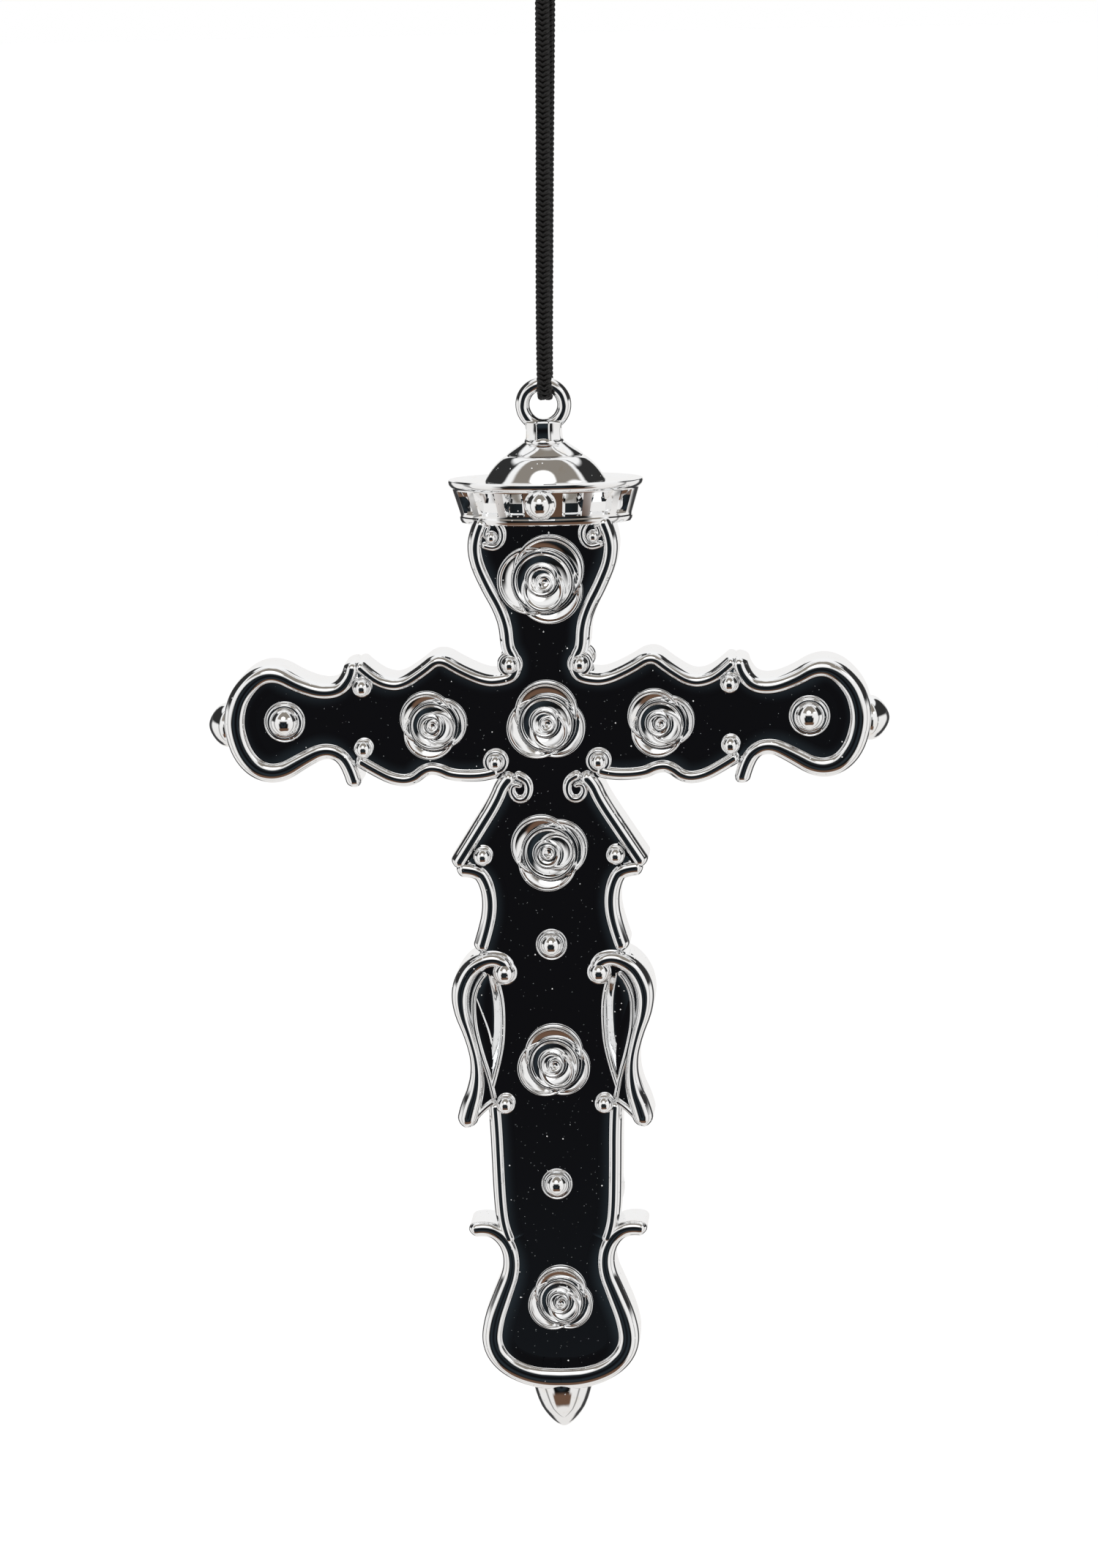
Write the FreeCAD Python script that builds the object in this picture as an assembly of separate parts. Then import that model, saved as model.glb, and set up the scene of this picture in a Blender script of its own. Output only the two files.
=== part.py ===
"""Costume pendant cross on a flat knitted cord: two moulded half shells with raised rails,
applied roses and beads, a crown with a dome, a hanger ring, and the cord it hangs from.

Millimetres, +Z up, the front faces -Y. The origin is where a hook bears inside the cord's
hanging loop. Every outline below is written from the cross's own datum, a point on its
centreline 10 mm under the middle of the arms, and is moved into place on export.
"""
import FreeCAD, Part
import math
import os

V = FreeCAD.Vector
os.makedirs("parts", exist_ok=True)

# ---- where the cross hangs from the origin --------------------------------------------
DATUM_X = -2.2              # the cross hangs a little to one side of the loop
DATUM_Z = -128.0

# ---- depths, measured out from the parting plane y = 0 --------------------------------
PLATE = 3.6                 # the recessed mirror-flat plate
RAIL_SIDE = 4.1             # where the rails start to round over
RAIL = 4.5                  # crest of the rails: the cross is 9 mm thick over them
BRACKET = 5.0               # crest of the thicker C-shaped brackets
LENS_FLOOR = 2.5            # floor of the lens-shaped recess inside each bracket
FLOOR_BACK = 2.1            # inside face of the plate
TONGUE = 2.8                # the head's tongue inside the crown
WALL = 2.2                  # from the rails' centreline to the hollow inside
SPREAD = 0.7                # how much wider the rails are at their foot

# ---- outlines of the right half, corner points of smooth lines (x, z) -----------------
HEAD = [(8.3, 39.0), (9.55, 36.6), (9.55, 33.2), (7.9, 29.3), (6.3, 26.4), (5.35, 23.6),
        (5.2, 20.5), (5.0, 18.0)]
ARM_TOP = [(4.7, 17.6), (5.2, 15.75), (8.6, 15.55), (12.3, 17.2), (15.2, 19.05),
           (17.4, 17.2), (20.6, 15.15), (23.0, 15.3), (25.3, 16.6), (27.2, 18.4)]
ARM_END = [(27.55, 18.7), (27.6, 17.1), (29.3, 14.6), (32.2, 14.15), (35.6, 15.3),
           (38.6, 17.05), (41.3, 16.65), (43.8, 14.0), (44.7, 11.2), (44.7, 8.6),
           (43.6, 5.2), (41.4, 3.0), (38.5, 2.65), (35.0, 4.7), (32.3, 6.05), (29.8, 5.6),
           (28.2, 3.3), (27.5, 0.5)]
ARM_BOTTOM = [(27.4, 4.7), (24.6, 2.95), (22.0, 1.65), (19.6, 1.5), (17.5, 3.25),
              (15.5, 3.15), (13.6, 2.15), (8.6, 2.1), (6.9, 2.9)]
SKIRT = [(4.8, 2.1), (6.2, 1.0), (7.4, -1.9), (10.1, -6.1), (12.2, -9.4), (13.5, -11.4)]
WAIST = [(13.4, -11.6), (10.4, -11.6), (9.0, -13.6), (8.5, -16.8), (9.1, -20.3),
         (10.3, -23.8)]
BRACKET_EDGE = [(11.8, -24.4), (14.2, -27.6), (14.9, -30.3), (13.6, -33.6), (12.2, -36.5),
                (11.8, -40.0), (12.4, -43.2), (14.1, -47.7), (13.1, -49.8), (11.6, -49.4),
                (10.3, -46.8), (8.9, -45.9)]
BRACKET_RAIL = [(6.3, -27.2), (6.4, -25.4), (8.9, -24.7), (11.6, -26.4), (12.9, -29.2),
                (12.7, -32.4), (11.8, -36.2), (11.4, -40.4), (12.0, -44.4), (12.4, -48.8)]
LENS_OUTER = [(11.5, -30.5), (11.6, -34.0), (10.6, -38.6), (9.3, -42.8), (8.8, -45.6)]
LENS_INNER = [(7.9, -28.3), (7.3, -31.0), (7.3, -35.5), (7.9, -40.0), (9.1, -43.8)]
LENS = [(8.2, -27.1), (9.9, -27.6), (11.0, -29.4), (11.1, -33.8), (10.1, -38.4), (9.0, -43.0),
        (8.1, -39.9), (7.7, -35.4), (7.7, -31.0)]
SHAFT = [(8.7, -45.9), (8.45, -49.0), (8.3, -56.0), (8.1, -62.0), (7.6, -65.2)]
FOOT = [(12.9, -65.1), (11.6, -64.6), (8.9, -65.0), (6.9, -67.5), (6.6, -71.0), (8.0, -74.6),
        (9.5, -78.6), (9.95, -82.2), (8.2, -85.1), (4.5, -86.95), (0.0, -87.45)]
SCROLLS = [(4.2, 0.2, 1.95), (7.3, 36.55, 1.8)]       # curled ends of the rails: x, z, radius
# the plate's own edge follows the middle of the rails round the right half
PLATE_EDGE = (HEAD[:-1] + ARM_TOP[1:-1] + ARM_END[1:-1] + [(27.6, 4.8)] + ARM_BOTTOM[1:-1]
              + SKIRT[1:-1] + WAIST + BRACKET_EDGE + SHAFT[1:] + FOOT[3:-1])
SKIRT_WEB = [(9.9, -8.0), (13.4, -11.5), (9.9, -11.9), (9.4, -9.7)]
PRONG_WEB = [(25.0, 15.9), (27.4, 18.6), (28.0, 15.8), (26.3, 15.0)]
SKIRT_POCKET = [(10.4, -9.9), (11.2, -9.9), (11.9, -11.0), (10.7, -11.3)]
PRONG_POCKET = [(25.9, 16.5), (26.4, 17.6), (26.9, 17.0), (26.9, 16.4)]

# ---- rails: outline, width -------------------------------------------------------------
RAILS = [(HEAD, 1.6), (ARM_TOP, 1.4), (ARM_END, 1.9), (ARM_END[4:14], 2.5), (ARM_BOTTOM, 1.45),
         (SKIRT, 1.7), (WAIST, 1.75), (LENS_OUTER, 0.8), (LENS_INNER, 0.8),
         (SHAFT, 1.4), (FOOT, 1.9), (FOOT[4:], 2.6)]
COLLARS = [(4.95, 17.9, 1.65), (7.2, 3.9, 1.8)]      # rounds under the four corner beads

# ---- ornaments -------------------------------------------------------------------------
PIN_R = 1.5                 # the pin that each ornament is pressed in by
PIN_LENGTH = 1.4
ROSES = {"top": (0.0, 30.1, 6.6), "left": (-16.3, 9.4, 5.0), "centre": (0.0, 9.6, 5.9),
         "right": (16.3, 9.4, 5.0), "skirt": (0.0, -9.2, 5.7), "shaft": (0.0, -40.2, 5.5),
         "foot": (0.2, -75.5, 4.9)}                   # name: centre x, z, outer radius
PETAL_TURN = {"top": 60, "left": 130, "centre": 90, "right": 130, "skirt": 140, "shaft": 90,
              "foot": 90}                             # where the first petal points, degrees
PEARLS = [(5.02, 18.1), (7.38, 4.0), (26.3, 15.0), (26.3, 6.15), (9.54, -9.7), (7.14, -46.2)]
PEARL_R = 1.45
BEAD_ROOM = 6.0             # the rails are cut away over each bead's seat up to this depth
BOSSES = {"left": -37.6, "right": 37.6}
BOSS_Z = 10.1
BOSS_R, BOSS_DOME_R = 2.95, 2.1
STUDS = {"upper": -22.8, "lower": -58.2}
STUD_R, STUD_DOME_R = 2.25, 1.65

# ---- crown, dome and hanger ------------------------------------------------------------
CROWN_X = 0.4
CROWN_Z0, CROWN_Z1 = 38.1, 44.3
CROWN_FOOT = (11.9, 5.3)    # half width and half depth of the oval band at its foot
CROWN_BRIM = (13.8, 7.1)    # and at its brim
WINDOW_X = (3.7, 8.1)       # middles of the windows to each side of the front bead
WINDOW_W, WINDOW_Z0, WINDOW_Z1, WINDOW_DEPTH = 2.9, 39.5, 42.9, 0.8
CROWN_BEAD_R, CROWN_BEAD_Z = 2.35, 41.3
BEAD_STEP = 0.35            # the crown beads' flat seats stand this far out of their holes
DOME = [(44.3, 8.6), (45.7, 7.7), (46.7, 6.8), (47.5, 5.8)]     # z, half width
CAP = [(47.5, 5.35), (48.0, 5.35), (49.6, 2.9)]
DOME_DEPTH = 0.62           # the dome's depth over its width
RING_X, RING_Z = 0.35, 54.84
RING_MEAN_R, RING_WIRE_R = 2.98, 1.02
NECK_R, NECK_Z0, NECK_Z1 = 2.45, 50.2, 52.6
COLLAR_R = 2.75
SHANK_R, SHANK_LENGTH = 1.2, 5.0

# ---- knobs and finial ------------------------------------------------------------------
KNOB_X0, KNOB_X1, KNOB_Z, KNOB_R = 46.3, 48.95, 9.2, 3.15
FINIAL = [(0.0, -86.5), (2.0, -86.5), (2.0, -89.1), (4.5, -89.1), (4.3, -90.0), (3.3, -92.2),
          (2.55, -93.3), (1.7, -94.35), (0.8, -95.2), (0.0, -95.43)]      # radius, z
LOCATING_PINS = [(0.0, 24.0), (30.5, 10.1), (-30.5, 10.1), (0.0, -15.5), (0.0, -50.0),
                 (0.0, -81.5)]
LOCATING_R = 0.9
LOCATING_BOSS_R = 1.7

# ---- cord ------------------------------------------------------------------------------
CORD_R = 1.05
KNOT_X, KNOT_Z, KNOT_R = 1.97, 117.5, 3.2
LOOP_R = 4.45
CORD_RING_X = 0.65
CORD_RING_Y = 2.35          # each strand stands this far from the ring wire's middle
KNOT_GAP = 0.35


# ---- plane drawing ---------------------------------------------------------------------
def points_xz(outline, y=0.0):
    return [V(x, y, z) for x, z in outline]


def unit(vector):
    return V(vector).normalize()


def rounded(points, share=0.5):
    """Straight runs joined by tangent arcs; each arc takes that share of its shorter run.

    Returns the pieces as lists of (point, tangent), two for a run and three for an arc."""
    pieces = []
    last = points[0]
    for before, corner, after in zip(points, points[1:], points[2:]):
        t_in, t_out = unit(corner - before), unit(after - corner)
        reach = share * min((corner - before).Length, (after - corner).Length)
        half_turn = t_in.getAngle(t_out) / 2
        radius = reach / math.tan(half_turn)
        middle = corner + unit(t_out - t_in) * (radius / math.cos(half_turn) - radius)
        start, end = corner - t_in * reach, corner + t_out * reach
        if (start - last).Length > 1e-4:
            pieces.append([(last, t_in), (start, t_in)])
        pieces.append([(start, t_in), (middle, unit(t_in + t_out)), (end, t_out)])
        last = end
    tangent = unit(points[-1] - last)
    pieces.append([(last, tangent), (points[-1], tangent)])
    return pieces


def edge_beside(piece, distance):
    """The piece as an edge, moved sideways in the XZ plane."""
    moved = [p + t.cross(V(0, 1, 0)) * distance for p, t in piece]
    if len(moved) == 2:
        return Part.LineSegment(*moved).toShape()
    return Part.Arc(*moved).toShape()


def strip(outline, width):
    """A band of one width along a smooth line, with round ends."""
    pieces = rounded(points_xz(outline))
    half = width / 2
    left = [edge_beside(piece, half) for piece in pieces]
    right = [edge_beside(piece, -half) for piece in pieces]
    (start, t0), (end, t1) = pieces[0][0], pieces[-1][-1]
    caps = []
    for point, tangent, way in ((start, t0, -1), (end, t1, 1)):
        side = tangent.cross(V(0, 1, 0)) * half
        caps.append(Part.Arc(point + side, point + tangent * half * way, point - side).toShape())
    edges = Part.sortEdges(left + right + caps)
    return Part.Face(Part.Wire(edges[0]))


def polygon(outline):
    points = points_xz(outline)
    return Part.Face(Part.makePolygon(points + points[:1]))


def disc(x, z, radius):
    return Part.Face(Part.Wire(Part.makeCircle(radius, V(x, 0, z), V(0, -1, 0))))


def both_sides(shape):
    return [shape, shape.mirror(V(0, 0, 0), V(1, 0, 0))]


def union(shapes):
    if len(shapes) == 1:
        return shapes[0]
    return shapes[0].multiFuse(shapes[1:]).removeSplitter()


def slab(faces, y_from, y_to):
    """Flat faces made into solids between two distances in front of the parting plane."""
    solids = []
    for face in faces.Faces:
        placed = face.translated(V(0, -y_from, 0))
        solids.append(placed.extrude(V(0, y_from - y_to, 0)))
    return solids


# ---- the shells ------------------------------------------------------------------------
def flat_union(faces):
    """Overlapping faces in the XZ plane made into as few faces as possible."""
    cells = Part.makeCompound(faces[0].multiFuse(faces[1:]).Faces)
    cells.sewShape()
    return cells.removeSplitter()


def mirrored_faces(faces):
    return flat_union([side for face in faces for side in both_sides(face)])


def half_shell():
    """The front half: outline, hollow, plate, rails and brackets, without pins or sockets."""
    plate = polygon(PLATE_EDGE + [(-x, z) for x, z in reversed(PLATE_EDGE)])
    foot_of_rails = [strip(line, width + SPREAD) for line, width in RAILS
                     if line not in (LENS_OUTER, LENS_INNER)]
    outline = flat_union([plate] + mirrored_faces(foot_of_rails).Faces)
    hollow = plate.makeOffset2D(-WALL, 0, False, False, False)
    rails = mirrored_faces([strip(line, width) for line, width in RAILS]
                           + [disc(*round_part) for round_part in COLLARS + SCROLLS]
                           + [polygon(SKIRT_WEB), polygon(PRONG_WEB)])
    curls = [disc(x, z, radius - 0.8).cut(disc(x, z, 0.5)) for x, z, radius in SCROLLS]
    pockets = mirrored_faces([polygon(SKIRT_POCKET), polygon(PRONG_POCKET)] + curls)
    crests = mirrored_faces([strip(line, width * 0.45) for line, width in RAILS])
    brackets = mirrored_faces([strip(BRACKET_RAIL, 2.2), disc(6.8, -27.0, 1.8)])
    bracket_crests = mirrored_faces([strip(BRACKET_RAIL, 1.1), disc(6.8, -27.0, 1.1)])
    pin_holes = flat_union([disc(x, z, PIN_R) for x, z in ornament_places()])
    layers = (slab(outline.cut(hollow), 0, FLOOR_BACK)
              + slab(outline.cut(pin_holes), FLOOR_BACK, PLATE)
              + slab(rails.cut(pockets), PLATE, RAIL_SIDE)
              + slab(crests.cut(pockets), RAIL_SIDE, RAIL)
              + slab(brackets, PLATE, RAIL) + slab(bracket_crests, RAIL, BRACKET))
    shell = layers[0].multiFuse(layers[1:]).removeSplitter()
    lenses = slab(mirrored_faces([polygon(LENS)]), LENS_FLOOR, BRACKET)
    above_crown_foot = Part.makeBox(60, 20, 20, V(-30, -10, CROWN_Z0))
    bead_seats = [post(PEARL_R, seat, BEAD_ROOM, x, z) for x, z, seat in pearl_places()]
    tongue = Part.makeBox(9.6, TONGUE, 7.2, V(-4.8, -TONGUE, 36.0))
    return shell.cut(Part.makeCompound(lenses + [above_crown_foot] + bead_seats)).fuse(tongue)


def ornament_places():
    """Where the pressed-in pins go through the plate."""
    places = [(x, z) for x, z, _ in ROSES.values()]
    places += [(x, BOSS_Z) for x in BOSSES.values()]
    places += [(0.0, z) for z in STUDS.values()]
    return places


def end_bores():
    """The bores in the edges of the joined shells for the arm knobs and the foot finial."""
    bores = [Part.makeCylinder(1.5, 8, V(side * 40, 0, KNOB_Z), V(side, 0, 0)) for side in (1, -1)]
    bores.append(Part.makeCylinder(2.0, 3.5, V(0, 0, -89.5), V(0, 0, 1)))
    return Part.makeCompound(bores)


def to_back(shape):
    return shape.mirror(V(0, 0, 0), V(0, 1, 0))


def front_shell(half):
    pins = [Part.makeCylinder(LOCATING_R, FLOOR_BACK + 1.6, V(x, -FLOOR_BACK, z), V(0, 1, 0))
            for x, z in LOCATING_PINS]
    return half.multiFuse(pins).cut(end_bores())


def back_shell(half):
    sockets = []
    for x, z in LOCATING_PINS:
        boss = Part.makeCylinder(LOCATING_BOSS_R, FLOOR_BACK, V(x, 0, z), V(0, 1, 0))
        sockets.append(boss.cut(Part.makeCylinder(LOCATING_R, 2.0, V(x, 0, z), V(0, 1, 0))))
    return to_back(half).multiFuse(sockets).cut(end_bores())


# ---- ornaments on the front; the back ones are their mirror image ------------------------
def post(radius, y0, y1, x, z):
    """A round post standing out of the front between two distances from the parting plane."""
    return Part.makeCylinder(radius, y1 - y0, V(x, -y0, z), V(0, -1, 0))


def taper(r0, r1, y0, y1, x, z):
    return Part.makeCone(r0, r1, y1 - y0, V(x, -y0, z), V(0, -1, 0))


def cap_dome(radius, height, y0, x, z):
    """A spherical cap of the given base radius and height."""
    ball_r = (radius ** 2 + height ** 2) / (2 * height)
    ball = Part.makeSphere(ball_r, V(x, -(y0 + height - ball_r), z))
    keep = Part.makeBox(4 * radius, height + 1, 4 * radius,
                        V(x - 2 * radius, -(y0 + height + 1), z - 2 * radius))
    return ball.common(keep)


def ornament_pin(x, z):
    return post(PIN_R, PLATE - PIN_LENGTH, PLATE, x, z)


def rose(name):
    """Three outer petals that overlap, a ring of inner petals and a bud."""
    x, z, radius = ROSES[name]
    petal_r = radius * 0.62
    solids = [ornament_pin(x, z), taper(radius * 0.7, radius * 0.62, PLATE, PLATE + 1.6, x, z),
              taper(radius * 0.4, radius * 0.3, PLATE + 1.6, PLATE + 2.3, x, z),
              cap_dome(radius * 0.16, radius * 0.1, PLATE + 2.3, x, z)]
    for k in range(3):
        angle = math.radians(PETAL_TURN[name] + 120 * k)
        px, pz = x + (radius - petal_r) * math.cos(angle), z + (radius - petal_r) * math.sin(angle)
        solids.append(taper(petal_r, petal_r * 0.94, PLATE, PLATE + 1.3 - 0.15 * k, px, pz))
    return union(solids)


def round_boss(x, z, base_r, dome_r):
    return union([ornament_pin(x, z), taper(base_r, base_r * 0.9, PLATE, PLATE + 0.7, x, z),
                  cap_dome(dome_r, dome_r * 0.75, PLATE + 0.7, x, z)])


def pearl_places():
    """The small beads' places on both sides and the height of the flat that each sits on."""
    seats = [RAIL if k < 2 else PLATE for k in range(len(PEARLS))]
    return [(side * x, z, seat) for (x, z), seat in zip(PEARLS, seats) for side in (1, -1)]


def pearls():
    """The small beads on the rails' corners, as one set of separate beads."""
    return Part.makeCompound([union([post(PEARL_R, seat, seat + 0.4, x, z),
                                     cap_dome(PEARL_R, 0.9, seat + 0.4, x, z)])
                              for x, z, seat in pearl_places()])


# ---- crown, dome, hanger, knobs, finial --------------------------------------------------
def oval(half_width, half_depth, z):
    ellipse = Part.Ellipse(V(CROWN_X, 0, z), half_width, half_depth)
    return Part.Wire(ellipse.toShape())


def oval_tower(levels):
    """Straight-sided bands through ovals given as (z, half width, half depth)."""
    bands = [Part.makeLoft([oval(w0, d0, z0), oval(w1, d1, z1)], True, True)
             for (z0, w0, d0), (z1, w1, d1) in zip(levels, levels[1:])]
    return union(bands)


def crown_half_depth(x, z):
    """Half depth of the band's oval at a distance x from its middle."""
    part = (z - CROWN_Z0) / (CROWN_Z1 - CROWN_Z0)
    half_w = CROWN_FOOT[0] + part * (CROWN_BRIM[0] - CROWN_FOOT[0])
    half_d = CROWN_FOOT[1] + part * (CROWN_BRIM[1] - CROWN_FOOT[1])
    return half_d * math.sqrt(max(0.0, 1 - (x / half_w) ** 2))


def crown_band():
    band = oval_tower([(CROWN_Z0,) + CROWN_FOOT, (CROWN_Z1,) + CROWN_BRIM])
    slot = Part.makeBox(9.9, 2 * TONGUE + 0.2, 5.4, V(-4.95, -TONGUE - 0.1, CROWN_Z0))
    band = band.cut(slot).cut(Part.makeCylinder(2, 4, V(CROWN_X, 0, CROWN_Z1 - 2)))
    middle = (WINDOW_Z0 + WINDOW_Z1) / 2
    for x in WINDOW_X:
        for side in (1, -1):
            for facing in (1, -1):
                depth = crown_half_depth(x, middle)
                window = Part.makeBox(WINDOW_W, 4, WINDOW_Z1 - WINDOW_Z0,
                                      V(-WINDOW_W / 2, -4 - (depth - WINDOW_DEPTH), WINDOW_Z0))
                window.translate(V(side * x + CROWN_X, 0, 0))
                band = band.cut(window if facing == 1 else to_back(window))
    for facing in (-1, 1):
        hole = Part.makeCylinder(1.0, 1.8, V(0, facing * (depth_at_bead() - 1.2), CROWN_BEAD_Z),
                                 V(0, facing, 0))
        seat = Part.makeCylinder(CROWN_BEAD_R, 3, V(0, facing * (depth_at_bead() + BEAD_STEP),
                                                    CROWN_BEAD_Z), V(0, facing, 0))
        band = band.cut(hole).cut(seat)
    return band


def depth_at_bead():
    return crown_half_depth(0, CROWN_BEAD_Z) - 0.15


def crown_bead():
    depth = depth_at_bead()
    seat = depth + BEAD_STEP
    return union([post(1.0, depth - 1.2, seat, 0, CROWN_BEAD_Z),
                  post(CROWN_BEAD_R, seat, seat + 0.5, 0, CROWN_BEAD_Z),
                  cap_dome(CROWN_BEAD_R, 1.5, seat + 0.5, 0, CROWN_BEAD_Z)])


def crown_dome():
    body = oval_tower([(z, w, w * DOME_DEPTH) for z, w in DOME])
    cap = oval_tower([(z, w, w * DOME_DEPTH) for z, w in CAP])
    spigot = Part.makeCylinder(2, 0.8, V(CROWN_X, 0, CROWN_Z1 - 0.8))
    dome = union([body, cap, spigot])
    return dome.cut(Part.makeCylinder(SHANK_R, SHANK_LENGTH, V(RING_X, 0, 49.6 - SHANK_LENGTH)))


def hanger_ring():
    ring = Part.makeTorus(RING_MEAN_R, RING_WIRE_R, V(RING_X, 0, RING_Z), V(0, 1, 0))
    corner = NECK_R / math.cos(math.pi / 8)
    octagon = [V(RING_X + corner * math.cos(math.radians(22.5 + 45 * k)),
                 corner * math.sin(math.radians(22.5 + 45 * k)), NECK_Z0) for k in range(8)]
    neck = Part.Face(Part.makePolygon(octagon + octagon[:1])).extrude(V(0, 0, NECK_Z1 - NECK_Z0))
    hole = Part.makeCylinder(RING_MEAN_R - RING_WIRE_R, 20, V(RING_X, -10, RING_Z), V(0, 1, 0))
    collar = Part.makeCylinder(COLLAR_R, NECK_Z0 - 49.6, V(RING_X, 0, 49.6))
    shank = Part.makeCylinder(SHANK_R, SHANK_LENGTH, V(RING_X, 0, 49.6 - SHANK_LENGTH))
    return union([ring, neck.cut(hole), collar, shank])


def turned(profile, place, axis_turn):
    """A solid of revolution from (radius, height) points, stood on its axis and placed."""
    points = [V(r, 0, h) for r, h in profile]
    face = Part.Face(Part.makePolygon(points + points[:1]))
    solid = face.revolve(V(0, 0, 0), V(0, 0, 1), 360)
    solid.rotate(V(0, 0, 0), V(0, 1, 0), axis_turn)
    solid.translate(place)
    return solid


def arm_knob():
    reach = KNOB_X1 - KNOB_X0
    profile = [(0, -4.0), (1.5, -4.0), (1.5, 0), (KNOB_R, 0), (KNOB_R, 0.5), (2.75, 1.2),
               (2.1, 1.9), (1.2, 2.45), (0.5, reach - 0.05), (0, reach)]
    return turned(profile, V(KNOB_X0, 0, KNOB_Z), 90)


def foot_finial():
    return turned(FINIAL, V(0, 0, 0), 0)


# ---- cord --------------------------------------------------------------------------------
def cord():
    """One cord, down from the knot, round the hanger ring's wire and back up: a plain tube."""
    bottom = RING_Z + RING_MEAN_R - CORD_RING_Y
    top = KNOT_Z - KNOT_R - KNOT_GAP
    route = [V(KNOT_X - 0.3, -1.25, top), V(CORD_RING_X, -CORD_RING_Y, bottom),
             V(CORD_RING_X, CORD_RING_Y, bottom), V(KNOT_X + 0.3, 1.25, top)]
    pieces = rounded(route, 0.45)
    edges = []
    for piece in pieces:
        points = [p for p, _ in piece]
        if len(points) == 2:
            edges.append(Part.LineSegment(*points).toShape())
        else:
            arc = Part.Arc(*points).toShape()
            print("cord arc radius", round(arc.Curve.Radius, 2))
            edges.append(arc)
    path = Part.Wire(edges)
    start, tangent = pieces[0][0]
    section = Part.Wire(Part.makeCircle(CORD_R, start, tangent))
    tube = path.makePipeShell([section], True, False)
    print("cord tube", round(path.Length, 1), "mm, volume ratio",
          round(tube.Volume / (math.pi * CORD_R ** 2 * path.Length), 3))
    return tube


def cord_knot():
    """The knot that gathers both strands, and the short loop above it."""
    loop_z = KNOT_Z + KNOT_R + LOOP_R - 1.0
    knot = Part.makeSphere(KNOT_R, V(KNOT_X, 0, KNOT_Z))
    loop = Part.makeTorus(LOOP_R, CORD_R, V(KNOT_X, 0, loop_z), V(0, 1, 0))
    return knot.fuse(loop)


# ---- export ------------------------------------------------------------------------------
def export(name, shape):
    placed = shape.translated(V(DATUM_X, 0, DATUM_Z))
    placed.exportStep("parts/" + name + ".step")
    print(name, len(placed.Solids), "solid", placed.isValid(), round(placed.Volume, 1))


def export_pair(name, shape):
    export(name + "_front", shape)
    export(name + "_back", to_back(shape))


half = half_shell()
export("front_shell", front_shell(half))
export("back_shell", back_shell(half))
for rose_name in ROSES:
    export_pair("rose_" + rose_name, rose(rose_name))
for side_name, boss_x in BOSSES.items():
    export_pair("arm_boss_" + side_name, round_boss(boss_x, BOSS_Z, BOSS_R, BOSS_DOME_R))
for stud_name, stud_z in STUDS.items():
    export_pair("shaft_stud_" + stud_name, round_boss(0.0, stud_z, STUD_R, STUD_DOME_R))
export_pair("rail_beads", pearls())
export("crown_band", crown_band())
export_pair("crown_bead", crown_bead())
export("crown_dome", crown_dome())
export("hanger_ring", hanger_ring())
export("arm_knob_right", arm_knob())
export("arm_knob_left", arm_knob().mirror(V(0, 0, 0), V(1, 0, 0)))
export("foot_finial", foot_finial())
export("cord", cord())
export("cord_knot", cord_knot())
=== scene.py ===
"""Costume pendant cross on a knitted cord: the detailed visual model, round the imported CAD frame.

Shapes are worked out in millimetres from the cross's own datum, in the same outlines as the
CAD part, and are placed in metres where the frame's own parts are.
"""
import bpy
import bmesh
import math
import random
from mathutils import Matrix, Vector
from mathutils.geometry import delaunay_2d_cdt


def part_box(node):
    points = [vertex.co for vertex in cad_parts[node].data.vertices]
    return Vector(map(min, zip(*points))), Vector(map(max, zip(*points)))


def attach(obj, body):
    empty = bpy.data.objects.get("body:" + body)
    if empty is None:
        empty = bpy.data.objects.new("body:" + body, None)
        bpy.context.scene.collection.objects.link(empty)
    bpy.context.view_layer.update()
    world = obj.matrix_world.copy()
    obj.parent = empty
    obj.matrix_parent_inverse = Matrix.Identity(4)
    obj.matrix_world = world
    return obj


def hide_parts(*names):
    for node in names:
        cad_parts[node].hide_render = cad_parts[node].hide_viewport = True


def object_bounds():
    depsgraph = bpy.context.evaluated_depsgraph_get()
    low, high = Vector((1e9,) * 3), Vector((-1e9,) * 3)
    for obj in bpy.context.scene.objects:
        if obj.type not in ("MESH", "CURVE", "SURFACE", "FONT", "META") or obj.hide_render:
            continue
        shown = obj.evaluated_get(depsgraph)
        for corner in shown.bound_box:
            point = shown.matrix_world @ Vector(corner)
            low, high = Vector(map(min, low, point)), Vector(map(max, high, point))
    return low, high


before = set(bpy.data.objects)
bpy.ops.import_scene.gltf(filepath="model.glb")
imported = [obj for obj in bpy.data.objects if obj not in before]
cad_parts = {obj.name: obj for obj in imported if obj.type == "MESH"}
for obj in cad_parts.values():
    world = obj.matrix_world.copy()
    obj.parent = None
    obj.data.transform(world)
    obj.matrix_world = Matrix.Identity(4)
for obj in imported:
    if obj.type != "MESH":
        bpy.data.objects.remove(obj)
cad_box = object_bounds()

MM = 0.001
shell_low, shell_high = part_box("front_shell")
SHELL_TOP = 43.2            # the shell's top, above the cross's datum
DATUM = Vector(((shell_low[0] + shell_high[0]) / 2, 0.0, shell_high[2] - SHELL_TOP * MM))

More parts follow.
